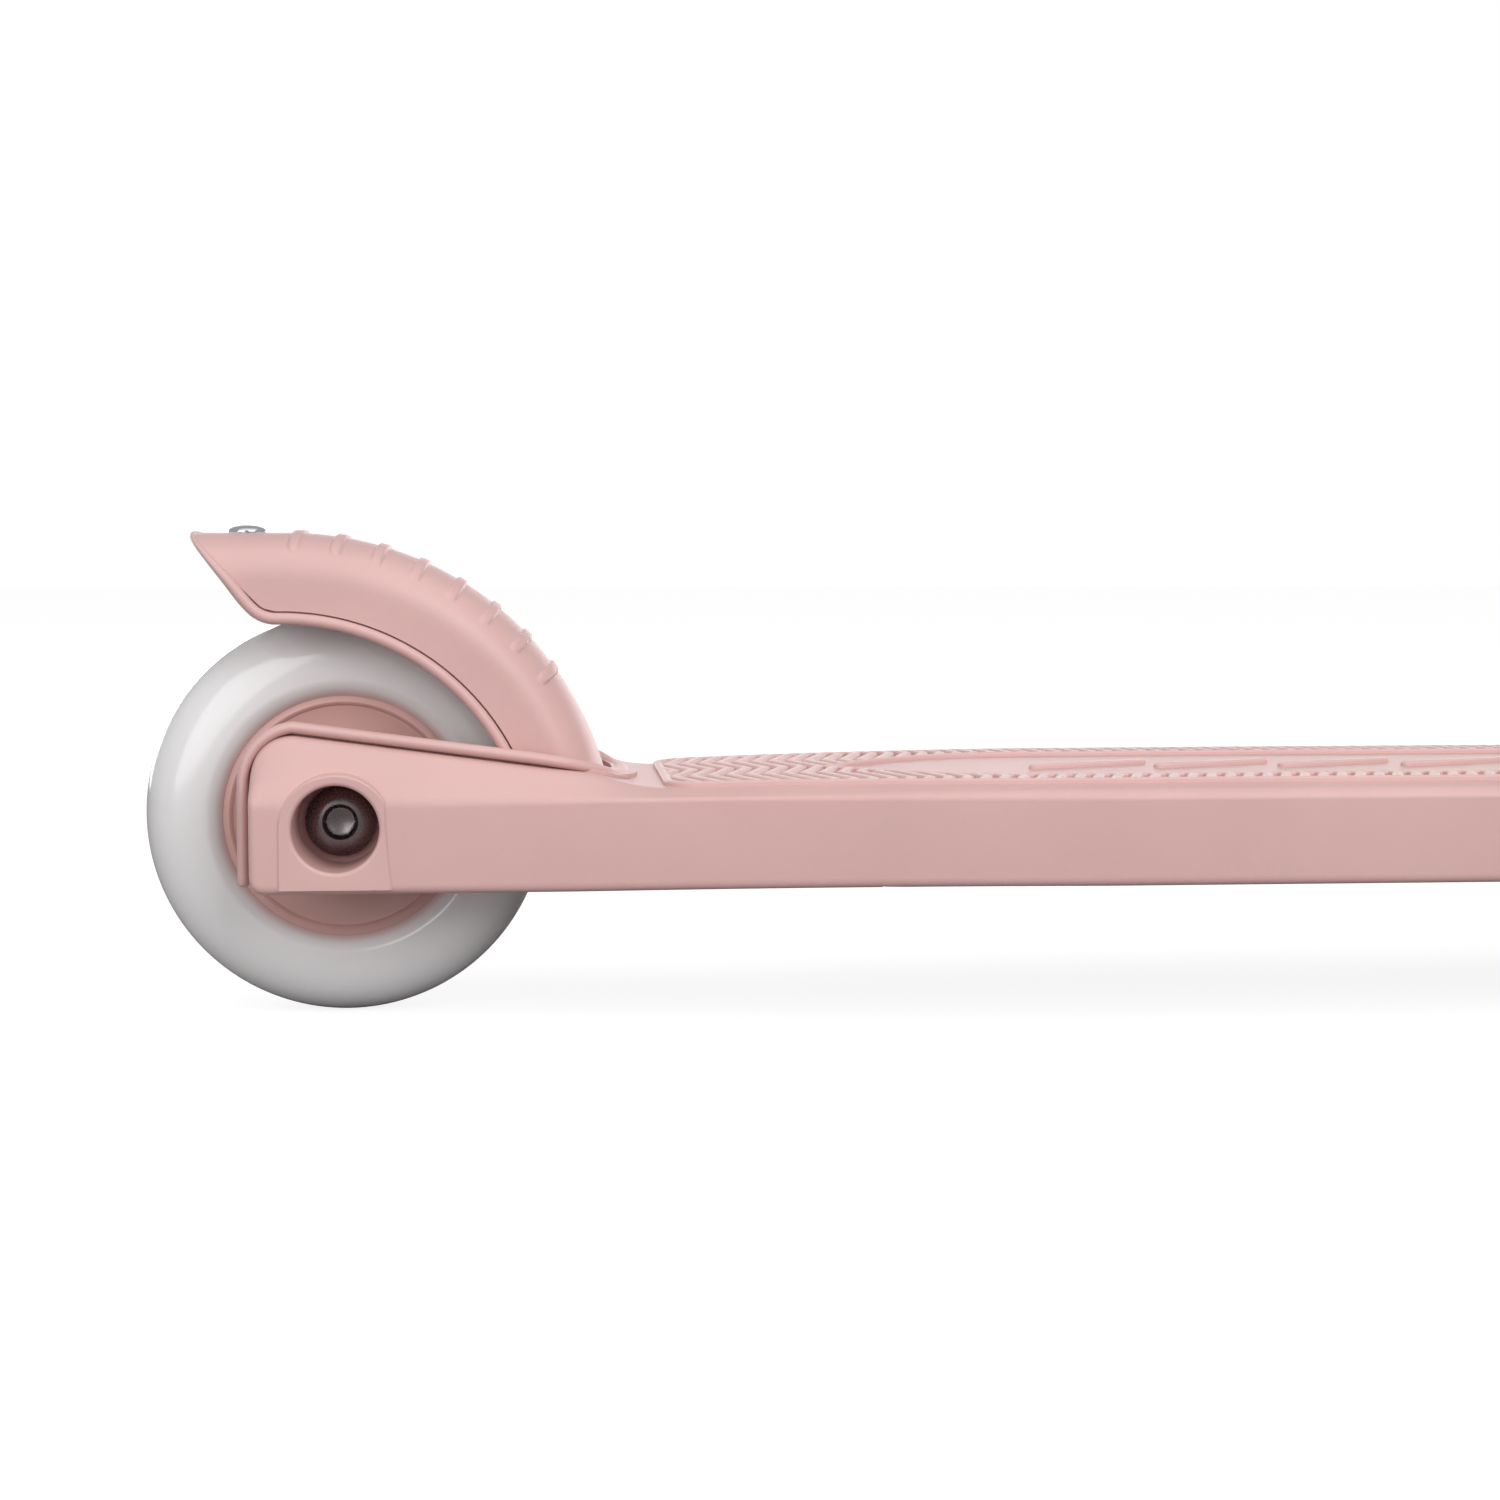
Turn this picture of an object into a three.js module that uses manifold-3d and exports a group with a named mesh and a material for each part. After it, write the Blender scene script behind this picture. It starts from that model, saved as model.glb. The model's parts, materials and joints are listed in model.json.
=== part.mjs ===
// A child's three-wheel kick scooter: moulded foot deck, fender brake, lean-to-steer front end and
// telescopic T-bar.
// Millimetres. +X is the way the scooter rolls, +Y is its left side, +Z is up. The ground is Z = 0.
// Inside this file X = 0 is the rear axle; the outer group then moves the origin to the middle of the
// footprint.

import * as THREE from 'three';
import { mergeVertices } from 'three/addons/utils/BufferGeometryUtils.js';
import Module from 'manifold-3d';

const wasm = await Module();
wasm.setup();

// ---- driving dimensions -------------------------------------------------------------------------

const GAP = 0.3;                 // clearance between touching pieces
const WHEELBASE = 460;
const REAR_WHEEL_RADIUS = 40;
const FRONT_WHEEL_RADIUS = 60;
const TYRE_WIDTH = 24;
const LENGTH = REAR_WHEEL_RADIUS + WHEELBASE + FRONT_WHEEL_RADIUS;

const deckSize = {
  tailHalfWidth: 36.7, middleHalfWidth: 46.5, noseHalfWidth: 30,
  rearEnd: -16.4, noseEnd: 440,
  tailBottom: 27.5, middleBottom: 28.9, top: 49.5, tailTop: 47.6,
  crease: 45,                    // above this height the fork arms lean inwards
};

const well = {                   // the slot that the rear wheel and the fender sit in
  halfWidth: 26.6, frontEnd: 56.6, corner: 11,
  liner: 2, lipReach: 2.6, lipHeight: 2.3, armTop: 56.5,
};

const axle = {                   // M8 button-head bolts on 608 ball bearings
  radius: 4, headRadius: 7, headHeight: 4.4, bearingRadius: 11, bearingWidth: 7,
  recessRadius: 8.3, seat: 18, bossRadius: 11.5, bossFace: 14.2,
};

const fender = {                 // an arch about its own centre, then straight back to the tip
  centre: new THREE.Vector2(-11, 30.8),
  radius: 65.4, depth: 15.2, halfWidth: 22, skin: 2, linerSkin: 1.8,
  beadHeight: 2.2, beadReach: 1.5,
  baseAngle: 14, tip: -31,
  hingeRadius: 57, hingeAngle: 15, pinRadius: 2, pressAngle: 4.5,
};

const steering = {               // kingpins lean forward at the top, so leaning the deck turns the wheels
  lean: 40, halfTrack: 72, armLength: 26,
  plateTop: 18, plateThickness: 6.5, barrelRadius: 9,
};

const wheelMiddle = 113;         // the front wheels' middle plane, from the scooter's own

const column = {                 // leans back; heights below run along it from its foot
  foot: new THREE.Vector3(458, 0, 58), lean: 9,
  outerRadius: 16, innerRadius: 13.7, wall: 2,
  socketTop: 88, top: 372, innerBottom: 270, barHeight: 615,
  buttonHeight: 70, clampHeight: 364,
};

const bar = { radius: 11, halfLength: 118, gripStart: 62, gripEnd: 122, gripRadius: 14.5 };

// ---- materials ----------------------------------------------------------------------------------

const finishes = {
  pinkPlastic: { color: 0xdcb4ae, roughness: 0.5, metalness: 0 },
  paleTyre: { color: 0xe9e5e4, roughness: 0.25, metalness: 0 },
  pinkCore: { color: 0xc9988f, roughness: 0.45, metalness: 0 },
  whitePlastic: { color: 0xe8e4e2, roughness: 0.4, metalness: 0 },
  softGrip: { color: 0xd7a39c, roughness: 0.8, metalness: 0 },
  steel: { color: 0x9a9ca0, roughness: 0.35, metalness: 1 },
  darkSteel: { color: 0x4c484a, roughness: 0.4, metalness: 1 },
  aluminium: { color: 0xc9cbce, roughness: 0.3, metalness: 1 },
  chrome: { color: 0xd5d7dc, roughness: 0.12, metalness: 1 },
};

const rad = THREE.MathUtils.degToRad;

// ---- solids: closed meshes in, closed meshes out ------------------------------------------------

function toSolid(geometry) {
  const bare = geometry.clone();
  bare.deleteAttribute('normal');
  bare.deleteAttribute('uv');
  const merged = mergeVertices(bare, 1e-4);
  const index = merged.index.array;
  const kept = [];
  for (let i = 0; i < index.length; i += 3) {
    const [a, b, c] = [index[i], index[i + 1], index[i + 2]];
    if (a !== b && b !== c && c !== a) kept.push(a, b, c);
  }
  const vertProperties = new Float32Array(merged.attributes.position.array);
  return new wasm.Manifold(new wasm.Mesh({ numProp: 3, vertProperties, triVerts: new Uint32Array(kept) }));
}

function toGeometry(solid) {
  const mesh = solid.getMesh();
  const geometry = new THREE.BufferGeometry();
  geometry.setAttribute('position', new THREE.BufferAttribute(mesh.vertProperties, 3));
  geometry.setIndex(new THREE.BufferAttribute(mesh.triVerts, 1));
  geometry.computeVertexNormals();
  return geometry;
}

function cut(geometry, ...tools) {
  return toGeometry(tools.reduce((body, tool) => body.subtract(toSolid(tool)), toSolid(geometry)));
}

function join(...geometries) {
  return toGeometry(geometries.map(toSolid).reduce((body, more) => body.add(more)));
}

function common(...geometries) {
  return toGeometry(geometries.map(toSolid).reduce((body, more) => body.intersect(more)));
}

// A disc, pin or sleeve about the Y axis, between two Y values.
function rodY(radius, y0, y1, sides = 18) {
  const rod = new THREE.CylinderGeometry(radius, radius, Math.abs(y1 - y0), sides);
  return rod.translate(0, (y0 + y1) / 2, 0);
}

// The same about the Z axis.
function rodZ(radius, z0, z1, sides = 18) {
  return new THREE.CylinderGeometry(radius, radius, z1 - z0, sides)
    .rotateX(Math.PI / 2).translate(0, 0, (z0 + z1) / 2);
}

// The same about the X axis.
function rodX(radius, x0, x1, sides = 18) {
  return new THREE.CylinderGeometry(radius, radius, x1 - x0, sides)
    .rotateZ(Math.PI / 2).translate((x0 + x1) / 2, 0, 0);
}

function block(x0, x1, y0, y1, z0, z1) {
  return new THREE.BoxGeometry(x1 - x0, y1 - y0, z1 - z0)
    .translate((x0 + x1) / 2, (y0 + y1) / 2, (z0 + z1) / 2);
}

// A ring or a turned piece about the Y axis, from a closed or axis-to-axis list of [radius, y].
function turned(profile, segments = 24) {
  return new THREE.LatheGeometry(profile.map(([r, y]) => new THREE.Vector2(r, y)), segments);
}

function sleeve(innerRadius, outerRadius, y0, y1, segments = 20) {
  return turned([[innerRadius, y0], [outerRadius, y0], [outerRadius, y1], [innerRadius, y1], [innerRadius, y0]],
    segments);
}

// A plan outline (x, y) extruded up from z0 to z1.
function upright(shape, z0, z1, curveSegments = 8, bevel = 0) {
  const settings = { depth: z1 - z0 - 2 * bevel, curveSegments, bevelEnabled: bevel > 0 };
  if (bevel > 0) Object.assign(settings, {
    bevelSize: bevel, bevelThickness: bevel, bevelOffset: -bevel, bevelSegments: 1,
  });
  return new THREE.ExtrudeGeometry(shape, settings).translate(0, 0, z0 + bevel);
}

// A side outline (x, z) extruded across, from y0 to y1.
function across(shape, y0, y1, curveSegments = 8) {
  return new THREE.ExtrudeGeometry(shape, { depth: y1 - y0, curveSegments, bevelEnabled: false })
    .rotateX(Math.PI / 2).translate(0, y1, 0);
}

function polygon(points) {
  return new THREE.Shape(points.map(([x, y]) => new THREE.Vector2(x, y)));
}

const scooter = new THREE.Group();
scooter.position.x = REAR_WHEEL_RADIUS - LENGTH / 2;

function place(name, finish, geometry, parent = scooter, position = [0, 0, 0]) {
  const mesh = new THREE.Mesh(geometry, new THREE.MeshStandardMaterial(finishes[finish]));
  mesh.name = name;
  mesh.position.set(...position);
  parent.add(mesh);
  return mesh;
}

const sides = [['left', 1], ['right', -1]];

// ---- deck and wheel-well liner ------------------------------------------------------------------

function deckPlan() {
  const { tailHalfWidth, middleHalfWidth, noseHalfWidth, rearEnd, noseEnd } = deckSize;
  const plan = new THREE.Shape();
  plan.moveTo(rearEnd - 1, -tailHalfWidth);
  plan.lineTo(60, -tailHalfWidth);
  plan.bezierCurveTo(95, -tailHalfWidth, 105, -middleHalfWidth, 150, -middleHalfWidth);
  plan.lineTo(315, -middleHalfWidth);
  plan.bezierCurveTo(365, -middleHalfWidth, 375, -noseHalfWidth, 415, -noseHalfWidth);
  plan.lineTo(noseEnd - 10, -noseHalfWidth);
  plan.quadraticCurveTo(noseEnd, -noseHalfWidth, noseEnd, -noseHalfWidth + 10);
  plan.lineTo(noseEnd, noseHalfWidth - 10);
  plan.quadraticCurveTo(noseEnd, noseHalfWidth, noseEnd - 10, noseHalfWidth);
  plan.lineTo(415, noseHalfWidth);
  plan.bezierCurveTo(375, noseHalfWidth, 365, middleHalfWidth, 315, middleHalfWidth);
  plan.lineTo(150, middleHalfWidth);
  plan.bezierCurveTo(105, middleHalfWidth, 95, tailHalfWidth, 60, tailHalfWidth);
  plan.lineTo(rearEnd - 1, tailHalfWidth);
  return plan;
}

// The curve along the top of the fork arms, raised by `lift`, and around their rear ends at `behind`.
function armTopEdge(outline, lift, behind) {
  outline.lineTo(well.frontEnd, deckSize.tailTop + 0.3 + lift);
  outline.bezierCurveTo(35, deckSize.tailTop + 2.6 + lift, 12, well.armTop - 2 + lift, -6, well.armTop + lift);
  outline.quadraticCurveTo(deckSize.rearEnd - behind, well.armTop + 1 + lift, deckSize.rearEnd - behind, 47 + lift);
}

function deckSide() {
  const { rearEnd, noseEnd, tailBottom, middleBottom, top, tailTop } = deckSize;
  const outline = new THREE.Shape();
  outline.moveTo(rearEnd + 2.2, tailBottom);
  outline.lineTo(45, tailBottom);
  outline.bezierCurveTo(80, tailBottom, 100, middleBottom, 140, middleBottom);
  outline.lineTo(400, middleBottom);
  outline.quadraticCurveTo(425, middleBottom, noseEnd + 1, 36);
  outline.lineTo(noseEnd + 1, top);
  outline.lineTo(231, top);
  outline.quadraticCurveTo(110, top, 66, tailTop);
  armTopEdge(outline, 0, 0);
  outline.lineTo(rearEnd, tailBottom + 2.5);
  outline.quadraticCurveTo(rearEnd, tailBottom, rearEnd + 2.2, tailBottom);
  return outline;
}

// The slot seen from above, grown by `grow` on every side, open at the rear.
function wellPlan(grow, rearEnd) {
  const half = well.halfWidth + grow;
  const front = well.frontEnd + grow;
  const corner = well.corner + grow;
  const plan = new THREE.Shape();
  plan.moveTo(rearEnd, -half);
  plan.lineTo(front - corner, -half);
  plan.quadraticCurveTo(front, -half, front, -half + corner);
  plan.lineTo(front, half - corner);
  plan.quadraticCurveTo(front, half, front - corner, half);
  plan.lineTo(rearEnd, half);
  return plan;
}

const hingePoint = [
  fender.centre.x + fender.hingeRadius * Math.cos(rad(fender.hingeAngle)),
  0,
  fender.centre.y + fender.hingeRadius * Math.sin(rad(fender.hingeAngle)),
];

const housingBolts = [416, 431];  // where two bolts come up through the deck's nose

// Rows of pockets that open downwards and leave ribs between them.
function deckPockets() {
  const pockets = [];
  const [count, pitch, wall, roof] = [8, 36, 3, 45];
  for (let i = 0; i < count; i += 1) {
    const start = 68 + i * pitch;
    const halfWidth = i === 0 ? 32 : i === count - 1 ? 36 : 41;
    pockets.push(block(start, start + pitch - wall, -halfWidth, -wall / 2, 0, roof));
    pockets.push(block(start, start + pitch - wall, wall / 2, halfWidth, 0, roof));
  }
  return pockets;
}

function makeDeck() {
  const { seat, bossRadius, bossFace, recessRadius, radius } = axle;
  const { tailHalfWidth, crease } = deckSize;
  const lipOuter = well.halfWidth + well.lipReach;
  let body = common(upright(deckPlan(), 20, 60, 6), across(deckSide(), -60, 60, 6));
  const tools = [upright(wellPlan(0, -60), 0, 100)];
  for (const [, side] of sides) {
    // the arms' outer faces lean inwards above the crease
    const wedge = new THREE.Shape([[tailHalfWidth, crease], [lipOuter + 0.8, 58], [60, 58], [60, crease]]
      .map(([y, z]) => new THREE.Vector2(side * y, z)));
    const leaning = new THREE.ExtrudeGeometry(wedge, { depth: 85, bevelEnabled: false })
      .rotateX(Math.PI / 2).rotateZ(Math.PI / 2).translate(-25, 0, 0);
    tools.push(leaning);
  }
  tools.push(...deckPockets());
  body = cut(body, ...tools);
  for (const [, side] of sides) {
    const boss = rodY(bossRadius, side * bossFace, side * (well.halfWidth + 2));
    body = join(body, boss.translate(0, 0, REAR_WHEEL_RADIUS));
  }
  const holes = [rodY(radius + 0.15, -40, 40)];
  for (const [, side] of sides) holes.push(rodY(recessRadius, side * seat, side * 40));
  holes.forEach((hole) => hole.translate(0, 0, REAR_WHEEL_RADIUS));
  holes.push(rodY(fender.pinRadius + 0.15, -32, 32, 16).translate(...hingePoint));
  for (const x of housingBolts) {
    holes.push(rodZ(3.3, 20, 60, 16).translate(x, 0, 0));
    holes.push(rodZ(6, 20, 37, 20).translate(x, 0, 0));
  }
  return cut(body, ...holes);
}

// The liner's walls stand in the slot and its lip lies on the deck around the slot.
function makeTailLiner() {
  const band = (grow, inner) => cut(upright(wellPlan(grow, -30), 28, 70), upright(wellPlan(inner, -60), 0, 100));
  const sideOf = (lift, behind, bottom) => {
    const outline = new THREE.Shape();
    outline.moveTo(deckSize.rearEnd - behind, bottom);
    outline.lineTo(80, bottom);
    outline.lineTo(80, deckSize.tailTop + 0.3 + lift);
    armTopEdge(outline, lift, behind);
    return across(outline, -60, 60, 6);
  };
  const walls = common(band(-GAP, -GAP - well.liner), sideOf(well.lipHeight, 0, 30));
  const lipBand = common(band(well.lipReach, -GAP - well.liner), sideOf(well.lipHeight, 3, 30));
  const lip = cut(lipBand, sideOf(GAP, GAP, 0));
  const boss = rodY(axle.bossRadius + GAP, -40, 40).translate(0, 0, REAR_WHEEL_RADIUS);
  const below = block(-axle.bossRadius - GAP, axle.bossRadius + GAP, -40, 40, 20, REAR_WHEEL_RADIUS);
  const pin = rodY(fender.pinRadius + GAP, -32, 32, 16).translate(...hingePoint);
  return cut(join(walls, lip), boss, below, pin);
}

place('deck', 'pinkPlastic', makeDeck());
place('tail_liner', 'pinkPlastic', makeTailLiner());

// ---- wheels -------------------------------------------------------------------------------------

// The tyre's cross-section: straight lower flanks, then a round crown.
function tyreProfile(outerRadius, innerRadius) {
  const half = TYRE_WIDTH / 2;
  const shoulder = outerRadius - 10.4;
  const profile = [[innerRadius, -half + 2.4], [shoulder, -half]];
  const steps = 8;
  for (let i = 1; i < steps; i += 1) {
    const turn = -Math.PI / 2 + (Math.PI * i) / steps;
    profile.push([shoulder + (outerRadius - shoulder) * Math.cos(turn) ** 0.9, half * Math.sin(turn)]);
  }
  profile.push([shoulder, half], [innerRadius, half - 2.4], [innerRadius, -half + 2.4]);
  return profile;
}

function bearing(y) {
  const half = axle.bearingWidth / 2;
  return sleeve(axle.radius + 0.15, axle.bearingRadius, y - half, y + half);
}

function makeRearHub() {
  const bore = axle.bearingRadius + 0.15;
  const [face, web, rim] = [9.4, 8.4, 23.8];
  return turned([
    [bore, -face], [14.5, -face], [16, -web], [20, -web], [21.5, -face - 0.1], [rim, -face - 0.1],
    [rim, face + 0.1], [21.5, face + 0.1], [20, web], [16, web], [14.5, face], [bore, face], [bore, -face],
  ]);
}

function buttonHeadBolt(length, side) {
  const { radius, headRadius, headHeight } = axle;
  const turnedPart = turned([
    [0, -length], [radius, -length], [radius, 0], [headRadius, 0], [headRadius, 1.2],
    [headRadius - 1.6, 3.2], [headRadius - 3.2, headHeight], [0, headHeight],
  ], 20);
  const socket = new THREE.CylinderGeometry(2.9, 2.9, 2.6, 6).translate(0, headHeight - 1.2, 0);
  const bolt = cut(turnedPart, socket);
  return side > 0 ? bolt : bolt.rotateX(Math.PI);
}

function hexNut(acrossFlats, hole, height) {
  const nut = new THREE.CylinderGeometry(acrossFlats / Math.sqrt(3), acrossFlats / Math.sqrt(3), height, 6);
  return cut(nut, new THREE.CylinderGeometry(hole, hole, height + 2, 24));
}

const rearAxis = [0, 0, REAR_WHEEL_RADIUS];
const rearBearing = 9.4 - axle.bearingWidth / 2;
place('rear_tyre', 'paleTyre', turned(tyreProfile(REAR_WHEEL_RADIUS, 24.1)), scooter, rearAxis);
place('rear_hub', 'pinkCore', makeRearHub(), scooter, rearAxis);
for (const [name, side] of sides) {
  place(`rear_bearing_${name}`, 'steel', bearing(side * rearBearing), scooter, rearAxis);
}
const spacerEnd = rearBearing - 3.8;
place('rear_bearing_spacer', 'steel', sleeve(4.3, 6, -spacerEnd, spacerEnd, 24), scooter, rearAxis);
place('rear_axle_bolt', 'darkSteel', buttonHeadBolt(42, -1), scooter,
  [0, -axle.seat - 0.1, REAR_WHEEL_RADIUS]);
place('rear_axle_nut', 'darkSteel', hexNut(13, axle.radius + 0.2, 6.5), scooter,
  [0, axle.seat + 3.5, REAR_WHEEL_RADIUS]);

// ---- fender brake -------------------------------------------------------------------------------

// Half of a section through the fender, as (distance across, distance towards the arch's centre).
function fenderSection(inset, depth, foot) {
  const half = fender.halfWidth - inset;
  const section = new THREE.Path();
  section.moveTo(0, inset);
  section.bezierCurveTo(half * 0.6, inset, half, inset + 2.5, half, inset + 9);
  section.lineTo(half, depth);
  foot.forEach(([y, d]) => section.lineTo(y, d));
  return section.getPoints(4);
}

// A channel: an outer half section, an inner half section, and both of them mirrored.
function channelShape(outer, inner) {
  const half = [...outer, ...inner.reverse()];
  const seen = half.map(({ x, y }) => [x, y]);
  const mirrored = seen.filter(([x]) => x > 0.01).map(([x, y]) => [-x, y]);
  const outerCount = outer.length;
  const outerSide = seen.slice(0, outerCount);
  const innerSide = seen.slice(outerCount);
  const outerMirror = mirrored.slice(0, outerCount - 1).reverse();
  const innerMirror = mirrored.slice(outerCount - 1).reverse();
  return polygon([...outerSide, ...innerSide, ...innerMirror, ...outerMirror]);
}

// The fender's crown line, from the hinge end up over the wheel and straight back to the tip.
class CrownLine extends THREE.Curve {
  constructor() {
    super();
    this.arcLength = fender.radius * rad(90 - fender.baseAngle);
    this.total = this.arcLength + fender.centre.x - fender.tip + 4;
  }

  getPoint(t) {
    const run = t * this.total;
    const turn = Math.min(run, this.arcLength) / fender.radius + rad(fender.baseAngle);
    const back = Math.max(0, run - this.arcLength);
    return new THREE.Vector3(
      fender.centre.x + fender.radius * Math.cos(turn) - back, 0, fender.centre.y + fender.radius * Math.sin(turn));
  }
}

// Sweeps a section along the crown line: section x runs across, section y runs towards the arch's centre.
function sweepCrown(shape, steps = 13) {
  const line = new CrownLine();
  const { shape: points } = shape.extractPoints(1);
  const faces = THREE.ShapeUtils.triangulateShape(points, []);
  const positions = [];
  const index = [];
  for (let i = 0; i <= steps; i += 1) {
    const t = i / steps;
    const point = line.getPoint(t);
    const turn = Math.min(t * line.total, line.arcLength) / fender.radius + rad(fender.baseAngle);
    for (const { x, y } of points) {
      positions.push(point.x - y * Math.cos(turn), x, point.z - y * Math.sin(turn));
    }
  }
  const count = points.length;
  for (let i = 0; i < steps; i += 1) {
    for (let j = 0; j < count; j += 1) {
      const k = (j + 1) % count;
      const [a, b, c, d] = [i * count + j, i * count + k, (i + 1) * count + k, (i + 1) * count + j];
      index.push(a, b, c, a, c, d);
    }
  }
  for (const [a, b, c] of faces) {
    index.push(a, c, b);
    index.push(steps * count + a, steps * count + b, steps * count + c);
  }
  const geometry = new THREE.BufferGeometry();
  geometry.setAttribute('position', new THREE.Float32BufferAttribute(positions, 3));
  geometry.setIndex(index);
  return geometry;
}

// The rear end is cut at 45 degrees, from the tip down and forwards.
function fenderRearCut(shift) {
  const top = fender.centre.y + fender.radius;
  const start = fender.tip + shift;
  return across(polygon([[start, top - 1.5], [start, top + 20], [-90, top + 20], [-90, 0], [start + 60, 0],
    [start + 60, top - 61.5]]), -60, 60);
}

const rivetPlace = -21;

function rivetHole() {
  return rodZ(2.2, 60, 110, 16).translate(rivetPlace, 0, 0);
}

function makeFenderCover() {
  const { halfWidth, depth, skin } = fender;
  const outer = fenderSection(0, depth, []);
  const inner = fenderSection(skin, depth, []);
  const shell = sweepCrown(channelShape(outer, inner));
  const pin = rodY(fender.pinRadius + 0.2, -halfWidth - 4, halfWidth + 4, 16).translate(...hingePoint);
  return cut(shell, fenderRearCut(0), rivetHole(), pin);
}

function makeFenderLiner() {
  const { halfWidth, depth, skin, linerSkin, beadHeight, beadReach } = fender;
  const inset = skin + GAP;
  const beadTop = depth + GAP;
  const beadBottom = beadTop + beadHeight;
  const beadEdge = halfWidth + beadReach;
  const outer = fenderSection(inset, beadTop, [[beadEdge, beadTop], [beadEdge, beadBottom]]);
  const inner = fenderSection(inset + linerSkin, beadBottom, []);
  const shell = sweepCrown(channelShape(outer, inner));
  const pin = rodY(fender.pinRadius + 0.2, -halfWidth - 4, halfWidth + 4, 16).translate(...hingePoint);
  return cut(shell, fenderRearCut(GAP), rivetHole(), pin);
}

// The steel plate is an arc about the axle when the fender is pressed down, so it is modelled there
// and turned back up about the hinge.
function makeBrakePlate() {
  const [inner, outer, half] = [REAR_WHEEL_RADIUS + 0.5, REAR_WHEEL_RADIUS + 2, 8];
  const plate = new THREE.Shape();
  plate.absarc(0, REAR_WHEEL_RADIUS, outer, rad(62), rad(118), false);
  plate.absarc(0, REAR_WHEEL_RADIUS, inner, rad(118), rad(62), true);
  const [x, , z] = hingePoint;
  return across(plate, -half, half, 12)
    .translate(-x, 0, -z).rotateY(rad(fender.pressAngle)).translate(x, 0, z);
}

function makeRivet() {
  const crown = fender.centre.y + fender.radius;
  const shape = turned([
    [0, -6.5], [1.9, -6.5], [1.9, 0.15], [3.9, 0.15], [3.5, 0.9], [2.3, 1.5], [0, 1.75],
  ], 18).rotateX(Math.PI / 2);
  return shape.translate(rivetPlace, 0, crown);
}

// A close-wound spring about the Z axis, from z0 upwards.
function coil(radius, wire, turns, pitch, z0) {
  class Helix extends THREE.Curve {
    getPoint(t) {
      const turn = 2 * Math.PI * turns * t;
      return new THREE.Vector3(radius * Math.cos(turn), radius * Math.sin(turn), z0 + pitch * turns * t);
    }
  }
  const section = new THREE.Shape();
  section.absarc(0, 0, wire / 2, 0, 2 * Math.PI);
  return new THREE.ExtrudeGeometry(section, {
    steps: Math.round(turns * 8), extrudePath: new Helix(), curveSegments: 3, bevelEnabled: false,
  });
}

place('fender_cover', 'pinkPlastic', makeFenderCover());
place('fender_liner', 'pinkPlastic', makeFenderLiner());
place('brake_plate', 'steel', makeBrakePlate());
place('fender_rivet', 'chrome', makeRivet());
place('fender_hinge_pin', 'steel', rodY(fender.pinRadius, -31, 31, 16), scooter, hingePoint);
place('fender_spring', 'steel', coil(3.2, 1.2, 6, 1.8, -5.4).rotateX(Math.PI / 2), scooter, hingePoint);

// ---- front housing, knuckles and tie rod ---------------------------------------------------------

// Everything here is in a frame at the middle of the front axle line, whose Z lies along the kingpins.
const truck = new THREE.Group();
truck.position.set(WHEELBASE, 0, FRONT_WHEEL_RADIUS);
truck.rotation.y = rad(steering.lean);
scooter.add(truck);
truck.updateMatrixWorld(true);

const mast = new THREE.Group();
mast.position.copy(column.foot);
mast.rotation.y = -rad(column.lean);
scooter.add(mast);
scooter.updateMatrixWorld(true);

// Moves a geometry from one group's frame into another's.
function moved(geometry, from, to) {
  return geometry.applyMatrix4(to.matrixWorld.clone().invert().multiply(from.matrixWorld));
}

// The plates' outline: round ends at the kingpins and a wide middle.
function platePlan(grow) {
  const { halfTrack } = steering;
  const end = 12 + grow;
  const [back, front] = [-34 - grow, 15 + grow];
  const plan = new THREE.Shape();
  plan.moveTo(back, -26);
  plan.bezierCurveTo(back, -48, -end, -50, -end, -halfTrack);
  plan.absarc(0, -halfTrack, end, Math.PI, 2 * Math.PI, false);
  plan.bezierCurveTo(end, -50, front, -44, front, -22);
  plan.lineTo(front, 22);
  plan.bezierCurveTo(front, 44, end, 50, end, halfTrack);
  plan.absarc(0, halfTrack, end, 0, Math.PI, false);
  plan.bezierCurveTo(-end, 50, back, 48, back, 26);
  plan.closePath();
  return plan;
}

function makeHousing() {
  const { plateTop, plateThickness, halfTrack } = steering;
  const plate = upright(platePlan(0), -plateTop, plateTop, 6);
  const tools = [];
  for (const [, side] of sides) {
    // the knuckles swing between the two plates
    const room = new THREE.Shape();
    room.moveTo(-60, side * 50);
    room.quadraticCurveTo(4, side * 40, 60, side * 34);
    room.lineTo(60, side * 120);
    room.lineTo(-60, side * 120);
    const inner = plateTop - plateThickness;
    tools.push(upright(room, -inner, inner, 5));
    tools.push(rodZ(4.15, -30, 30, 20).translate(0, side * halfTrack, 0));
  }
  const footBottom = deckSize.top + GAP;
  const footShape = polygon([[404, footBottom], [446, footBottom], [450, 72], [430, 78], [404, 60]]);
  const foot = moved(across(footShape, -25, 25), scooter, truck);
  const neck = moved(rodZ(24, 6, 44, 24), mast, truck);
  const bore = moved(rodZ(19.4, 5.7, 60, 24), mast, truck);
  const below = moved(block(380, 442, -40, 40, 20, footBottom), scooter, truck);
  const screws = housingBolts.map((x) => moved(rodZ(3.2, 40, 65, 16).translate(x, 0, 0), scooter, truck));
  return cut(join(plate, foot, neck), bore, below, ...screws, ...tools);
}

function makeCover() {
  const { plateTop } = steering;
  const shell = upright(platePlan(2.5), plateTop + GAP, plateTop + 6, 5, 1.8);
  const neck = moved(rodZ(24.6, -20, 90, 24), mast, truck);
  return cut(shell, neck);
}

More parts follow.
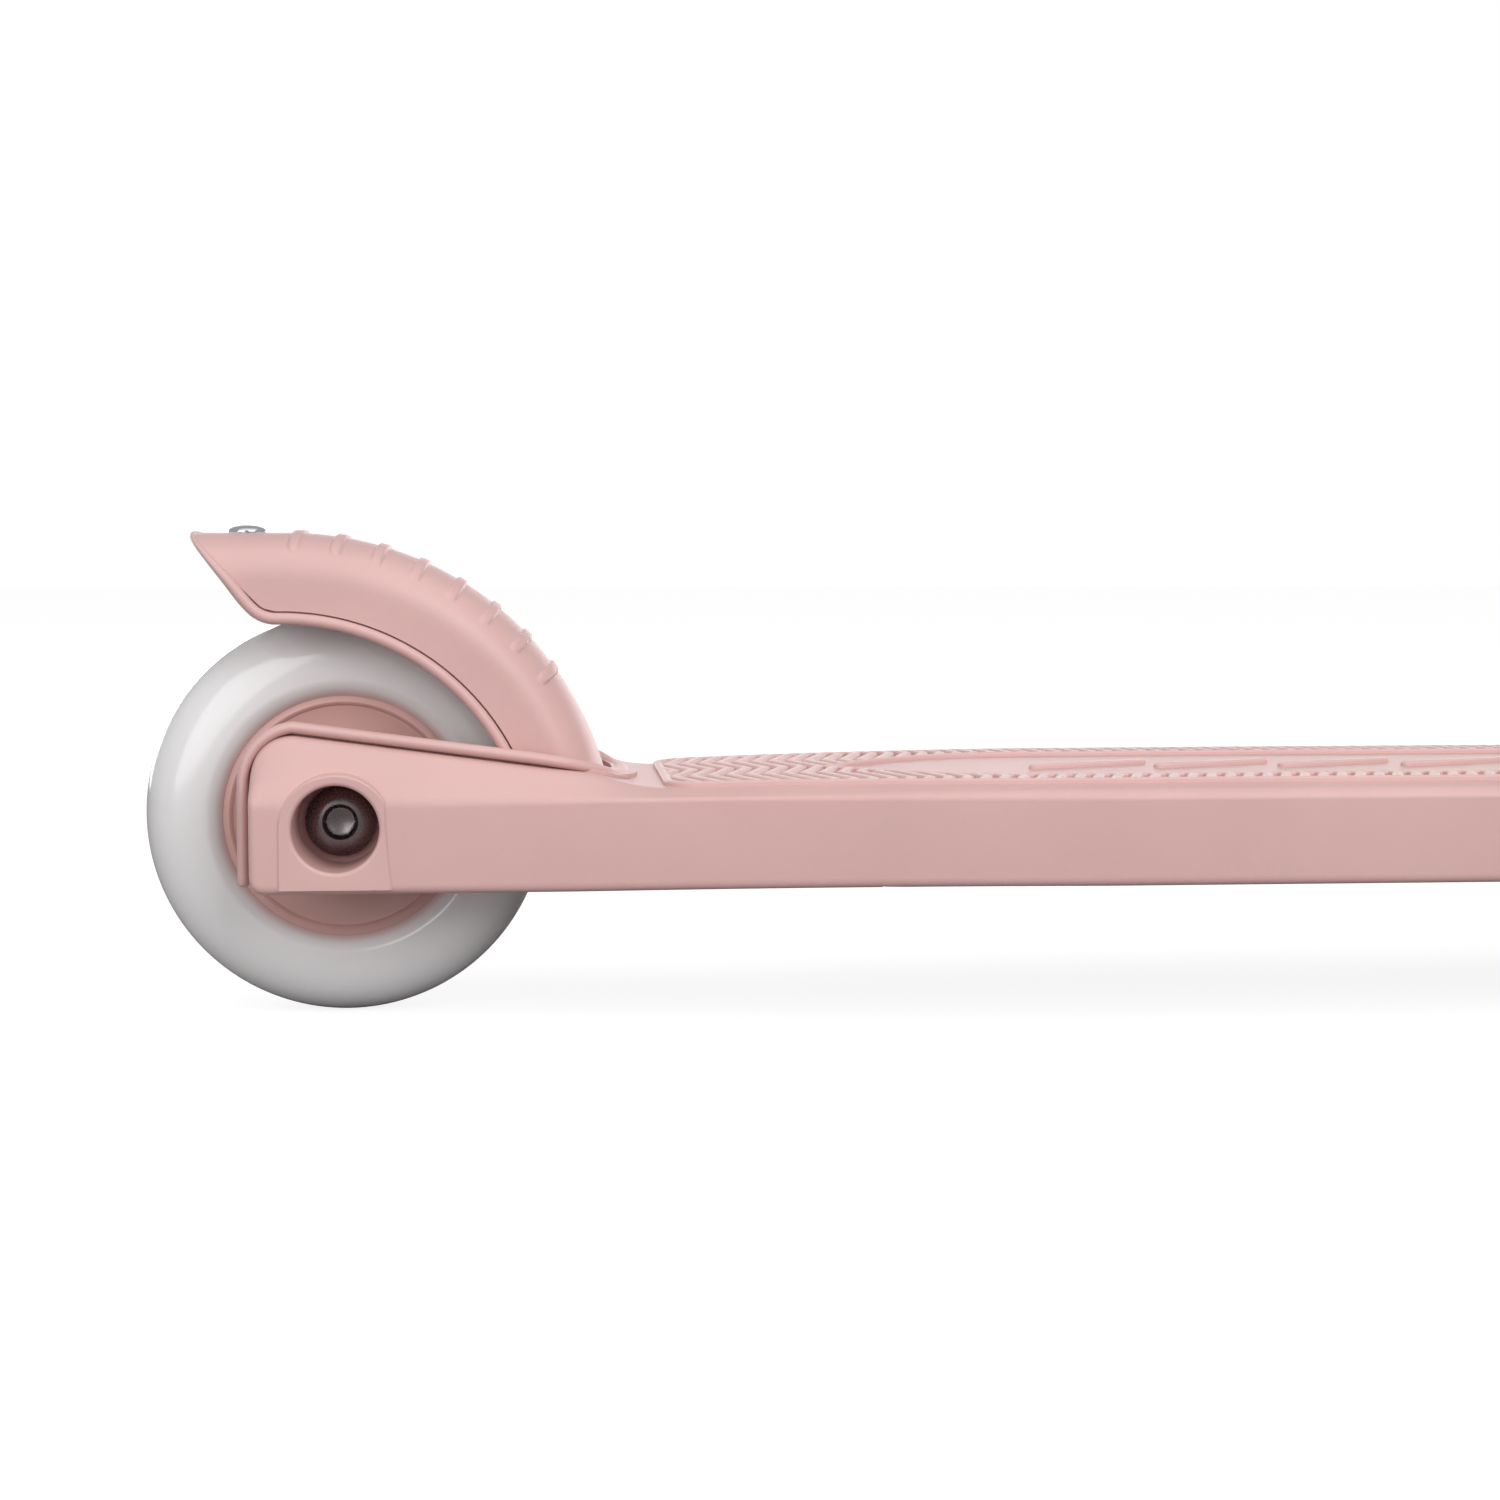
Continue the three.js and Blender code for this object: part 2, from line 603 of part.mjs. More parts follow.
function makeKnuckle(side) {
  const { halfTrack, barrelRadius, armLength } = steering;
  const barrel = rodZ(barrelRadius, -11, 4, 28);
  const boss = rodY(8, side * 7.3, side * 27.6, 20);
  const neck = rodY(6, side * 27, side * (wheelMiddle - halfTrack - 9.8), 24);
  const arm = upright(armPlan(armLength), -9, -3.2, 8);
  const hole = rodZ(4.15, -30, 30, 20);
  const pinHole = rodZ(3.15, -30, 30, 16).translate(armLength, 0, 0);
  const axleHole = rodY(4.15, side * 8.5, side * 60, 20);
  return cut(join(barrel, boss, neck, arm), hole, pinHole, axleHole);
}

function armPlan(length) {
  const plan = new THREE.Shape();
  plan.absarc(length, 0, 6, -Math.PI / 2, Math.PI / 2, false);
  plan.lineTo(0, 7.5);
  plan.absarc(0, 0, 7.5, Math.PI / 2, 1.5 * Math.PI, false);
  plan.closePath();
  return plan;
}

function makeKingpin() {
  const { plateTop } = steering;
  return turned([
    [0, -plateTop - 4.3], [5.2, -plateTop - 4.3], [6.5, -plateTop - 2.6], [6.5, -plateTop - GAP],
    [axle.radius, -plateTop - GAP], [axle.radius, plateTop - 0.2], [0, plateTop - 0.2],
  ], 18).rotateX(Math.PI / 2);
}

function makeTieRod() {
  const { halfTrack, armLength } = steering;
  const rod = block(-4, 4, -halfTrack, halfTrack, -2.8, 1.2);
  const eyes = sides.map(([, side]) => rodZ(6, -2.8, 1.2, 24).translate(0, side * halfTrack, 0));
  const holes = sides.map(([, side]) => rodZ(3.3, -9, 9, 20).translate(0, side * halfTrack, 0));
  return cut(join(rod, ...eyes), ...holes).translate(armLength, 0, 0);
}

function makeTieRodPin() {
  return turned([
    [0, -9.2], [3, -9.2], [3, 1.6], [4.9, 1.6], [4.4, 3.1], [2.4, 3.9], [0, 4.1],
  ], 20).rotateX(Math.PI / 2);
}

place('front_housing', 'whitePlastic', makeHousing(), truck);
place('front_cover', 'pinkPlastic', makeCover(), truck);
for (const [name, side] of sides) {
  const pivot = [0, side * steering.halfTrack, 0];
  place(`kingpin_${name}`, 'steel', makeKingpin(), truck, pivot);
  place(`steering_knuckle_${name}`, 'aluminium', makeKnuckle(side), truck, pivot);
  place(`centring_spring_${name}`, 'steel', coil(6, 1.4, 3, 1.6, 5.1), truck, pivot);
  place(`tie_rod_pin_${name}`, 'steel', makeTieRodPin(), truck,
    [steering.armLength, side * steering.halfTrack, 0]);
}
place('tie_rod', 'aluminium', makeTieRod(), truck);
for (const [i, x] of housingBolts.entries()) {
  const bolt = turned([[0, -27], [3, -27], [3, 0], [5.5, 0], [5.5, 3.5], [4.6, 4.4], [0, 4.4]], 16)
    .rotateX(-Math.PI / 2);
  place(`housing_bolt_${i === 0 ? 'rear' : 'front'}`, 'darkSteel', bolt, scooter, [x, 0, 36.7]);
}

// ---- front wheels -------------------------------------------------------------------------------

function makeFrontHub() {
  const [bore, face, rim] = [axle.bearingRadius + 0.15, 10.4, FRONT_WHEEL_RADIUS - 16.3];
  const solid = turned([
    [bore, -face], [16, -face], [17.5, -4], [rim - 6, -4], [rim - 4, -face], [rim, -face],
    [rim, face], [rim - 4, face], [rim - 6, 4], [17.5, 4], [16, face], [bore, face], [bore, -face],
  ], 28);
  const openings = [];
  const spokes = 5;
  for (let i = 0; i < spokes; i += 1) {
    const window = new THREE.Shape();
    const half = rad(24);
    window.absarc(0, 0, rim - 9, -half, half, false);
    window.absarc(0, 0, 21, half * 0.72, -half * 0.72, true);
    openings.push(new THREE.ExtrudeGeometry(window, { depth: 20, curveSegments: 3, bevelEnabled: false })
      .translate(0, 0, -10).rotateX(Math.PI / 2).rotateY((2 * Math.PI * i) / spokes));
  }
  return cut(solid, ...openings);
}

function makeWheelCap(side) {
  const edge = axle.bearingRadius - 0.2;
  const cap = turned([[0, 0], [edge, 0], [edge, 0.8], [8, 1.5], [0, 1.7]], 28);
  return side > 0 ? cap : cap.rotateX(Math.PI);
}

for (const [name, side] of sides) {
  const centre = [WHEELBASE, side * wheelMiddle, FRONT_WHEEL_RADIUS];
  const tyre = turned(tyreProfile(FRONT_WHEEL_RADIUS, FRONT_WHEEL_RADIUS - 16), 36);
  place(`front_tyre_${name}`, 'paleTyre', tyre, scooter, centre);
  place(`front_hub_${name}`, 'pinkCore', makeFrontHub(), scooter, centre);
  place(`front_bearing_inner_${name}`, 'steel', bearing(-side * 5.6), scooter, centre);
  place(`front_bearing_outer_${name}`, 'steel', bearing(side * 1.7), scooter, centre);
  place(`front_axle_bolt_${name}`, 'darkSteel', buttonHeadBolt(37, side), scooter,
    [WHEELBASE, side * (wheelMiddle + 5.4), FRONT_WHEEL_RADIUS]);
  place(`front_wheel_cap_${name}`, 'pinkPlastic', makeWheelCap(side), scooter,
    [WHEELBASE, side * (wheelMiddle + 10.1), FRONT_WHEEL_RADIUS]);
}

// ---- column, clamp and handlebar ----------------------------------------------------------------

// In the mast group Z runs up the column from its foot, and -X is towards the rider.
function turnedUp(profile, segments = 24) {
  return turned(profile, segments).rotateX(Math.PI / 2);
}

function makeSocket() {
  const bore = column.outerRadius + GAP;
  const shape = turnedUp([
    [0, 6], [19, 6], [19, 44.4], [23.5, 44.4], [23.5, 50], [21.5, 54], [20.5, 84], [19.5, column.socketTop],
    [bore, column.socketTop], [bore, 9], [0, 9],
  ]);
  return cut(shape, rodX(5.4, -40, 0, 24).translate(0, 0, column.buttonHeight));
}

function tube(outer, wall, z0, z1, segments = 24) {
  return turnedUp([[outer - wall, z0], [outer, z0], [outer, z1], [outer - wall, z1], [outer - wall, z0]], segments);
}

function makeButton() {
  const shape = turned([[0, 0], [5, 0], [5, 10.2], [4.2, 11], [0, 11.4]], 24);
  return shape.rotateZ(Math.PI / 2).translate(-12.6, 0, column.buttonHeight);
}

const clamp = { outer: 20.5, bottom: 350, collarTop: 378, earX: -31, boltX: -26, earHalf: 7, slot: 1.5 };

function makeCollar() {
  const { outer, bottom, collarTop, earX, earHalf, slot, boltX } = clamp;
  const bore = column.outerRadius + GAP;
  const neck = column.innerRadius + GAP;
  const ring = turnedUp([
    [bore, bottom], [outer, bottom], [outer, collarTop - 2], [outer - 2, collarTop], [neck, collarTop],
    [neck, column.top + GAP], [bore, column.top + GAP], [bore, bottom],
  ]);
  const ears = cut(block(earX, -17, -earHalf, earHalf, bottom + 3, collarTop - 3), rodZ(18, 0, 400, 24));
  const split = block(-60, -10, -slot, slot, 0, 400);
  const boltHole = rodY(3.2, -30, 30, 20).translate(boltX, 0, column.clampHeight);
  return cut(join(ring, ears), split, boltHole);
}

const pivotY = -14;

function makeClampBolt() {
  const eye = rodZ(4, column.clampHeight - 3, column.clampHeight + 3, 20).translate(clamp.boltX, pivotY, 0);
  const shank = rodY(3, pivotY, 12.6, 20).translate(clamp.boltX, 0, column.clampHeight);
  const hole = rodZ(2.15, 0, 400, 16).translate(clamp.boltX, pivotY, 0);
  return cut(join(shank, eye), hole);
}

// The cam lever: two cheeks around the bolt's eye, and a handle that hugs the collar.
function makeClampLever() {
  const { boltX, outer } = clamp;
  const [inside, outside] = [outer + 1.2, outer + 5.6];
  const [start, end] = [rad(222), rad(318)];
  const plan = new THREE.Shape();
  plan.absarc(0, 0, outside, start, end, false);
  plan.absarc(0, 0, inside, end, start, true);
  plan.closePath();
  const height = column.clampHeight;
  const handle = upright(plan, height - 8, height + 8, 10);
  const cam = rodZ(6.4, height - 8, height + 8, 28).translate(boltX, pivotY, 0);
  const link = upright(polygon([[boltX - 2, pivotY - 6], [boltX + 3, pivotY], [inside * Math.cos(start) - 0.2, -15.6],
    [outside * Math.cos(start) + 3.4, outside * Math.sin(start) - 2.2]]), height - 8, height + 8);
  const slotRoom = rodZ(10.5, height - 3.4, height + 3.4, 28).translate(boltX, pivotY, 0);
  const collarRoom = rodZ(inside, 0, 400, 28);
  const earRoom = block(-40, -10, -clamp.earHalf - 0.5, 10, 0, 400);
  const hole = rodZ(2.15, 0, 400, 16).translate(boltX, pivotY, 0);
  return cut(join(handle, cam, link), slotRoom, collarRoom, earRoom, hole);
}

function makeHandlebar() {
  const { barHeight, innerRadius } = column;
  const crossTube = rodY(bar.radius, -bar.halfLength, bar.halfLength, 28).translate(0, 0, barHeight);
  const middle = turned([[0, -46], [bar.radius + 0.5, -46], [14, -26], [16.5, -12], [16.5, 12], [14, 26],
    [bar.radius + 0.5, 46], [0, 46]], 22).translate(0, 0, barHeight);
  const stem = turnedUp([[0, barHeight - 52], [17, barHeight - 52], [17.6, barHeight - 46], [17, barHeight - 8],
    [0, barHeight]]);
  const bore = rodZ(innerRadius + GAP, 400, barHeight - 14, 24);
  const screw = rodX(2.65, -40, 0, 16).translate(0, 0, barHeight - 34);
  return cut(join(crossTube, middle, stem), bore, screw);
}

function makeStemScrew() {
  return turned([[0, -3.8], [2.5, -3.8], [2.5, 0], [4.2, 0], [3.6, 1.5], [0, 2]], 20)
    .rotateZ(Math.PI / 2).translate(-18, 0, column.barHeight - 34);
}

function makeGrip(side) {
  const { radius, halfLength, gripStart, gripEnd, gripRadius } = bar;
  const bore = radius + 0.2;
  const profile = [[0, halfLength + GAP], [bore, halfLength + GAP], [bore, gripStart], [gripRadius + 2.5, gripStart],
    [gripRadius + 2.5, gripStart + 3], [gripRadius, gripStart + 5]];
  profile.push([gripRadius, gripEnd - 3], [gripRadius - 3, gripEnd], [0, gripEnd]);
  const grip = turned(profile, 22);
  return side > 0 ? grip : grip.rotateX(Math.PI);
}

place('column_socket', 'whitePlastic', makeSocket(), mast);
place('steering_column', 'aluminium', cut(tube(column.outerRadius, column.wall, 9.3, column.top),
  rodX(5.4, -40, 0, 24).translate(0, 0, column.buttonHeight)), mast);
place('release_button', 'pinkPlastic', makeButton(), mast);
place('clamp_collar', 'whitePlastic', makeCollar(), mast);
place('clamp_bolt', 'steel', makeClampBolt(), mast);
place('clamp_nut', 'steel', hexNut(10, 3.15, 5), mast, [clamp.boltX, 10, column.clampHeight]);
place('clamp_lever', 'pinkPlastic', makeClampLever(), mast);
place('clamp_lever_pin', 'steel', rodZ(2, column.clampHeight - 7.6, column.clampHeight + 7.6, 16), mast,
  [clamp.boltX, pivotY, 0]);
const upperTube = tube(column.innerRadius, 1.5, column.innerBottom, column.barHeight - 14.3);
place('upper_tube', 'aluminium', upperTube, mast);
place('handlebar', 'pinkPlastic', makeHandlebar(), mast);
place('stem_screw', 'darkSteel', makeStemScrew(), mast);
for (const [name, side] of sides) {
  place(`grip_${name}`, 'softGrip', makeGrip(side), mast, [0, 0, column.barHeight]);
}

export default scooter;
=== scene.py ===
"""Looks for the kick scooter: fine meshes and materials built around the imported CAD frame."""
import json
from math import cos, exp, hypot, pi, radians, sin, sqrt

import bmesh
import bpy
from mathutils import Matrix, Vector


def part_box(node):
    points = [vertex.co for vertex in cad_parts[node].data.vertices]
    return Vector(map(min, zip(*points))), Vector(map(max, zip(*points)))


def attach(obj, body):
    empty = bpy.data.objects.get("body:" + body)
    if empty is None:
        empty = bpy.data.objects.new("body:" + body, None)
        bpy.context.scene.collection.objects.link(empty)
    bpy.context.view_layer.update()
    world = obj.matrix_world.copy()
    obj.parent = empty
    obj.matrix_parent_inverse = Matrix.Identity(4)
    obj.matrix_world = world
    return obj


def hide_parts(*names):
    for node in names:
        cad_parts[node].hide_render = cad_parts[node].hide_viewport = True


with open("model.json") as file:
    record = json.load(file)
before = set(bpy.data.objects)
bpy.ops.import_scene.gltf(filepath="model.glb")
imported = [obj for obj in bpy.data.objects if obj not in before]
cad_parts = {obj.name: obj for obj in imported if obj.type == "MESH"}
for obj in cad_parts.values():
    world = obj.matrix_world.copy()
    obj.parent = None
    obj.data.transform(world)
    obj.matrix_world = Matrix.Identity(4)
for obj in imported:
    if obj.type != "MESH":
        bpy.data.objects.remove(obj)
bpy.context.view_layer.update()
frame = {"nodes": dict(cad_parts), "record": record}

MM = 0.001

# ---- reference sizes, in millimetres from the rear axle's ground point ---------------------------

tyre_low, tyre_high = (Vector(v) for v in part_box("rear_tyre"))
AXLE_X = (tyre_low.x + tyre_high.x) / 2
REAR_R = (tyre_high.z - tyre_low.z) / 2 / MM

TAIL_HALF, MID_HALF, NOSE_HALF = 36.7, 46.5, 30.0
REAR_END, NOSE_END = -16.4, 440.0
WELL_HALF, WELL_FRONT, WELL_CORNER = 26.6, 56.6, 11.0
DECK_TOP, TAIL_DIP, TREAD_START = 48.2, 1.3, 63.0
ARM_FRONT_TOP, ARM_SLOPE = 48.6, 0.135
EDGE_BAND = 6.8
RECESS_R, RECESS_SEAT = 8.3, 18.0
FENDER_X, FENDER_Z, FENDER_R = -11.0, 30.8, 65.4
FENDER_HALF, FENDER_DEPTH, FENDER_TIP = 22.0, 15.2, -29.2


def at(x, y, z):
    """A point given in millimetres from the rear axle's ground point, in the frame's metres."""
    return Vector((AXLE_X + x * MM, y * MM, z * MM))


def mix(a, b, t):
    return a + (b - a) * t


def ease(t):
    t = min(1.0, max(0.0, t))
    return t * t * (3 - 2 * t)


def ramp(x, x0, x1):
    return ease((x - x0) / (x1 - x0))


# ---- mesh helpers --------------------------------------------------------------------------------

def make_object(name, verts, faces, sharp=35):
    mesh = bpy.data.meshes.new(name)
    mesh.from_pydata([tuple(v) for v in verts], [], faces)
    obj = bpy.data.objects.new(name, mesh)
    bpy.context.scene.collection.objects.link(obj)
    clean(obj, sharp)
    return obj


def clean(obj, sharp=35, merge=1e-7):
    """Welds doubled points, turns every face outwards and keeps only the edges over `sharp` degrees hard."""
    bm = bmesh.new()
    bm.from_mesh(obj.data)
    bmesh.ops.remove_doubles(bm, verts=bm.verts, dist=merge)
    bmesh.ops.dissolve_degenerate(bm, dist=merge, edges=bm.edges)
    bmesh.ops.recalc_face_normals(bm, faces=bm.faces)
    for face in bm.faces:
        face.smooth = True
    for edge in bm.edges:
        edge.smooth = len(edge.link_faces) != 2 or edge.calc_face_angle(0) < radians(sharp)
    bm.to_mesh(obj.data)
    bm.free()


def grid(point, nu, nv, wrap_u=False, wrap_v=False, cap_u=False):
    """Points and faces of a sheet, tube or ring from point(i, j)."""
    verts = [point(i, j) for i in range(nu) for j in range(nv)]
    faces = []
    for i in range(nu if wrap_u else nu - 1):
        for j in range(nv if wrap_v else nv - 1):
            k, l = (i + 1) % nu, (j + 1) % nv
            faces.append((i * nv + j, i * nv + l, k * nv + l, k * nv + j))
    if cap_u:
        faces.append(tuple(range(nv)))
        faces.append(tuple((nu - 1) * nv + j for j in range(nv)))
    return verts, faces


def joined(*parts):
    """Puts several (verts, faces) lists into one."""
    verts, faces = [], []
    for more_verts, more_faces in parts:
        start = len(verts)
        verts.extend(more_verts)
        faces.extend(tuple(start + k for k in face) for face in more_faces)
    return verts, faces


def turned(profile, place, segments=96):
    """Turns [radius, along] pairs about an axis; place(a, b, along) gives the point in the frame."""
    closed = profile[0] == profile[-1]
    points = profile[:-1] if closed else profile
    count = len(points)

    def point(i, j):
        r, along = points[j]
        turn = 2 * pi * i / segments
        return place(max(r, 1e-5) * cos(turn), max(r, 1e-5) * sin(turn), along)

    return grid(point, segments, count, wrap_u=True, wrap_v=closed)


def about_y(x, y, z, side=1):
    return lambda a, b, along: at(x + a, y + side * along, z + b)


def rounded(corners, steps=6):
    """Rounds the corners of a polyline of (x, y, radius); a radius of 0 keeps the corner."""
    out = []
    for k, (x, y, radius) in enumerate(corners):
        if radius == 0 or k in (0, len(corners) - 1):
            out.append((x, y))
            continue
        px, py, _ = corners[k - 1]
        nx, ny, _ = corners[k + 1]
        before, after = hypot(px - x, py - y), hypot(nx - x, ny - y)
        reach = min(radius, before / 2.05, after / 2.05)
        sx, sy = x + (px - x) / before * reach, y + (py - y) / before * reach
        ex, ey = x + (nx - x) / after * reach, y + (ny - y) / after * reach
        for i in range(steps + 1):
            t = i / steps
            out.append(((1 - t) ** 2 * sx + 2 * t * (1 - t) * x + t * t * ex,
                        (1 - t) ** 2 * sy + 2 * t * (1 - t) * y + t * t * ey))
    return out


def boolean(obj, tool, operation="DIFFERENCE"):
    """Applies one exact boolean and removes the tool."""
    modifier = obj.modifiers.new("cut", "BOOLEAN")
    modifier.operation = operation
    modifier.solver = "EXACT"
    modifier.object = tool
    depsgraph = bpy.context.evaluated_depsgraph_get()
    mesh = bpy.data.meshes.new_from_object(obj.evaluated_get(depsgraph))
    obj.modifiers.clear()
    obj.data = mesh
    bpy.data.objects.remove(tool)


def bevel(obj, width, segments=2, angle=35):
    modifier = obj.modifiers.new("edge_round", "BEVEL")
    modifier.width = width * MM
    modifier.segments = segments
    modifier.limit_method = "ANGLE"
    modifier.angle_limit = radians(angle)
    modifier.harden_normals = True


# ---- materials -----------------------------------------------------------------------------------

def new_material(name):
    material = bpy.data.materials.new(name)
    material.use_nodes = True
    tree = material.node_tree
    shader = tree.nodes["Principled BSDF"]
    return material, tree, shader


def add(tree, kind, **inputs):
    node = tree.nodes.new(kind)
    for key, value in inputs.items():
        node.inputs[key.replace("_", " ")].default_value = value
    return node


def mottled(tree, shader, base, spread, scale, roughness, grain, bump, bump_scale):
    """Slight colour and roughness variation and a fine surface grain."""
    coords = tree.nodes.new("ShaderNodeTexCoord")
    cloud = add(tree, "ShaderNodeTexNoise", Scale=scale, Detail=4.0)
    tree.links.new(coords.outputs["Object"], cloud.inputs["Vector"])
    ramp_node = tree.nodes.new("ShaderNodeValToRGB")
    ramp_node.color_ramp.elements[0].position = 0.3
    ramp_node.color_ramp.elements[1].position = 0.7
    ramp_node.color_ramp.elements[0].color = [c * (1 - spread) for c in base] + [1]
    ramp_node.color_ramp.elements[1].color = [min(1, c * (1 + spread)) for c in base] + [1]
    tree.links.new(cloud.outputs["Fac"], ramp_node.inputs["Fac"])
    tree.links.new(ramp_node.outputs["Color"], shader.inputs["Base Color"])
    rough = add(tree, "ShaderNodeMapRange")
    rough.inputs["To Min"].default_value = roughness - grain
    rough.inputs["To Max"].default_value = roughness + grain
    fine = add(tree, "ShaderNodeTexNoise", Scale=bump_scale, Detail=3.0)
    tree.links.new(coords.outputs["Object"], fine.inputs["Vector"])
    tree.links.new(fine.outputs["Fac"], rough.inputs["Value"])
    tree.links.new(rough.outputs["Result"], shader.inputs["Roughness"])
    height = add(tree, "ShaderNodeBump", Strength=bump, Distance=0.0002)
    tree.links.new(fine.outputs["Fac"], height.inputs["Height"])
    tree.links.new(height.outputs["Normal"], shader.inputs["Normal"])
    return coords


def pink_plastic():
    material, tree, shader = new_material("pink_plastic")
    mottled(tree, shader, (0.68, 0.43, 0.412), 0.025, 40, 0.42, 0.06, 0.12, 2600)
    shader.inputs["Subsurface Weight"].default_value = 0.08
    shader.inputs["Subsurface Radius"].default_value = (0.004, 0.002, 0.0015)
    return material


def tread_plastic_painted_shade():
    """The deck's plastic, a little deeper in colour down between the ridges: painted shade in the hollows.
    """
    material, tree, shader = new_material("tread_plastic_painted_shade")
    mottled(tree, shader, (0.70, 0.46, 0.44), 0.02, 40, 0.4, 0.06, 0.1, 2600)
    top = tree.nodes["Color Ramp"]
    # Painted shade: hollow spots (low pointiness) take a deeper pink, standing in for the shade that falls
    # between the ridges.
    valley_shade_pointiness = tree.nodes.new("ShaderNodeNewGeometry")
    span = tree.nodes.new("ShaderNodeMapRange")
    span.inputs["From Min"].default_value = 0.44
    span.inputs["From Max"].default_value = 0.53
    tree.links.new(valley_shade_pointiness.outputs["Pointiness"], span.inputs["Value"])
    blend = tree.nodes.new("ShaderNodeMix")
    blend.data_type = "RGBA"
    blend.inputs["A"].default_value = (0.60, 0.31, 0.28, 1)
    tree.links.new(span.outputs["Result"], blend.inputs["Factor"])
    tree.links.new(top.outputs["Color"], blend.inputs["B"])
    tree.links.new(blend.outputs["Result"], shader.inputs["Base Color"])
    return material


def white_plastic():
    material, tree, shader = new_material("white_plastic")
    mottled(tree, shader, (0.80, 0.765, 0.75), 0.02, 40, 0.4, 0.06, 0.12, 2600)
    return material


def core_plastic():
    material, tree, shader = new_material("wheel_core")
    mottled(tree, shader, (0.64, 0.38, 0.35), 0.03, 60, 0.36, 0.05, 0.08, 2000)
    return material


def grip_rubber():
    material, tree, shader = new_material("grip_rubber")
    mottled(tree, shader, (0.60, 0.33, 0.30), 0.04, 80, 0.75, 0.08, 0.35, 3000)
    shader.inputs["Sheen Weight"].default_value = 0.15
    return material


def metal(name, colour, roughness, spread=0.04, bump=0.05):
    material, tree, shader = new_material(name)
    mottled(tree, shader, colour, spread, 300, roughness, 0.06, bump, 1800)
    shader.inputs["Metallic"].default_value = 1.0
    return material


def radial_distance(tree, coords, x, y, z):
    """Distance from a wheel's axle line, in metres, from object coordinates."""
    shift = tree.nodes.new("ShaderNodeVectorMath")
    shift.operation = "SUBTRACT"
    shift.inputs[1].default_value = (x, y, z)
    tree.links.new(coords.outputs["Object"], shift.inputs[0])
    flat = tree.nodes.new("ShaderNodeVectorMath")
    flat.operation = "MULTIPLY"
    flat.inputs[1].default_value = (1, 0, 1)
    tree.links.new(shift.outputs[0], flat.inputs[0])
    length = tree.nodes.new("ShaderNodeVectorMath")
    length.operation = "LENGTH"
    tree.links.new(flat.outputs[0], length.inputs[0])
    return length.outputs["Value"]


def cast_tyre(name, centre, core_radius):
    """Milky cast polyurethane; the core's pink shows through its thin inner rim."""
    material, tree, shader = new_material(name)
    coords = mottled(tree, shader, (0.83, 0.82, 0.825), 0.01, 30, 0.18, 0.03, 0.02, 900)
    white = tree.nodes["Color Ramp"]
    span = tree.nodes.new("ShaderNodeMapRange")
    span.interpolation_type = "SMOOTHSTEP"
    span.inputs["From Min"].default_value = (core_radius - 0.6) * MM
    span.inputs["From Max"].default_value = (core_radius + 1.7) * MM
    tree.links.new(radial_distance(tree, coords, *centre), span.inputs["Value"])
    blend = tree.nodes.new("ShaderNodeMix")
    blend.data_type = "RGBA"
    blend.inputs["A"].default_value = (0.66, 0.44, 0.42, 1)
    tree.links.new(span.outputs["Result"], blend.inputs["Factor"])
    tree.links.new(white.outputs["Color"], blend.inputs["B"])
    tree.links.new(blend.outputs["Result"], shader.inputs["Base Color"])
    shader.inputs["Subsurface Weight"].default_value = 0.35
    shader.inputs["Subsurface Radius"].default_value = (0.006, 0.005, 0.005)
    shader.inputs["Coat Weight"].default_value = 0.6
    shader.inputs["Coat Roughness"].default_value = 0.08
    shader.inputs["IOR"].default_value = 1.5
    return material


def seen_directly(tree, to_camera, to_light):
    """A value that differs between what the camera sees and what lights the object."""
    path = tree.nodes.new("ShaderNodeLightPath")
    span = tree.nodes.new("ShaderNodeMapRange")
    span.inputs["To Min"].default_value = to_light
    span.inputs["To Max"].default_value = to_camera
    tree.links.new(path.outputs["Is Camera Ray"], span.inputs["Value"])
    return span.outputs["Result"]


def floor_material():
    """Pale studio floor: white to the camera, but it throws little light back up."""
    material, tree, shader = new_material("studio_floor")
    mottled(tree, shader, (0.29, 0.28, 0.28), 0.01, 3, 0.9, 0.02, 0.0, 200)
    shader.inputs["Specular IOR Level"].default_value = 0.0
    shader.inputs["Emission Color"].default_value = (1, 1, 1, 1)
    tree.links.new(seen_directly(tree, 0.86, 0.0), shader.inputs["Emission Strength"])
    return material


MATERIALS = {
    "pink_plastic": pink_plastic(),
    "white_plastic": white_plastic(),
    "wheel_core": core_plastic(),
    "grip_rubber": grip_rubber(),
    "aluminium": metal("aluminium", (0.72, 0.73, 0.75), 0.3),
    "dark_steel": metal("dark_steel", (0.24, 0.215, 0.22), 0.28),
    "chrome": metal("chrome", (0.66, 0.67, 0.71), 0.1, 0.02, 0.01),
    "steel": metal("steel", (0.45, 0.45, 0.47), 0.32),
}


def dress(obj, body, slot, replaced=(), material=None):
    obj.data.materials.clear()
    obj.data.materials.append(material or MATERIALS[slot])
    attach(obj, body)
    if replaced:
        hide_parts(*replaced)


def piece(name, parts, body, slot, replaced=(), sharp=35, material=None):
    """Makes one finished piece from (verts, faces)."""
    obj = make_object(name, *joined(*parts), sharp=sharp)
    dress(obj, body, slot, replaced, material)
    return obj


# ---- camera, lights, floor -----------------------------------------------------------------------

def place_camera():
    """Close to the rear wheel, nearly level, turned a little towards the front."""
    camera = bpy.data.objects.new("camera", bpy.data.cameras.new("camera"))
    bpy.context.scene.collection.objects.link(camera)
    camera.data.sensor_width = 36
    camera.data.lens = 64.8
    camera.data.clip_start = 0.01
    camera.data.clip_end = 30
    yaw, pitch = radians(4.66), radians(4.28)
    camera.location = at(37, -550, 93.2)
    camera.rotation_euler = (pi / 2 - pitch, 0, -yaw)
    bpy.context.scene.camera = camera


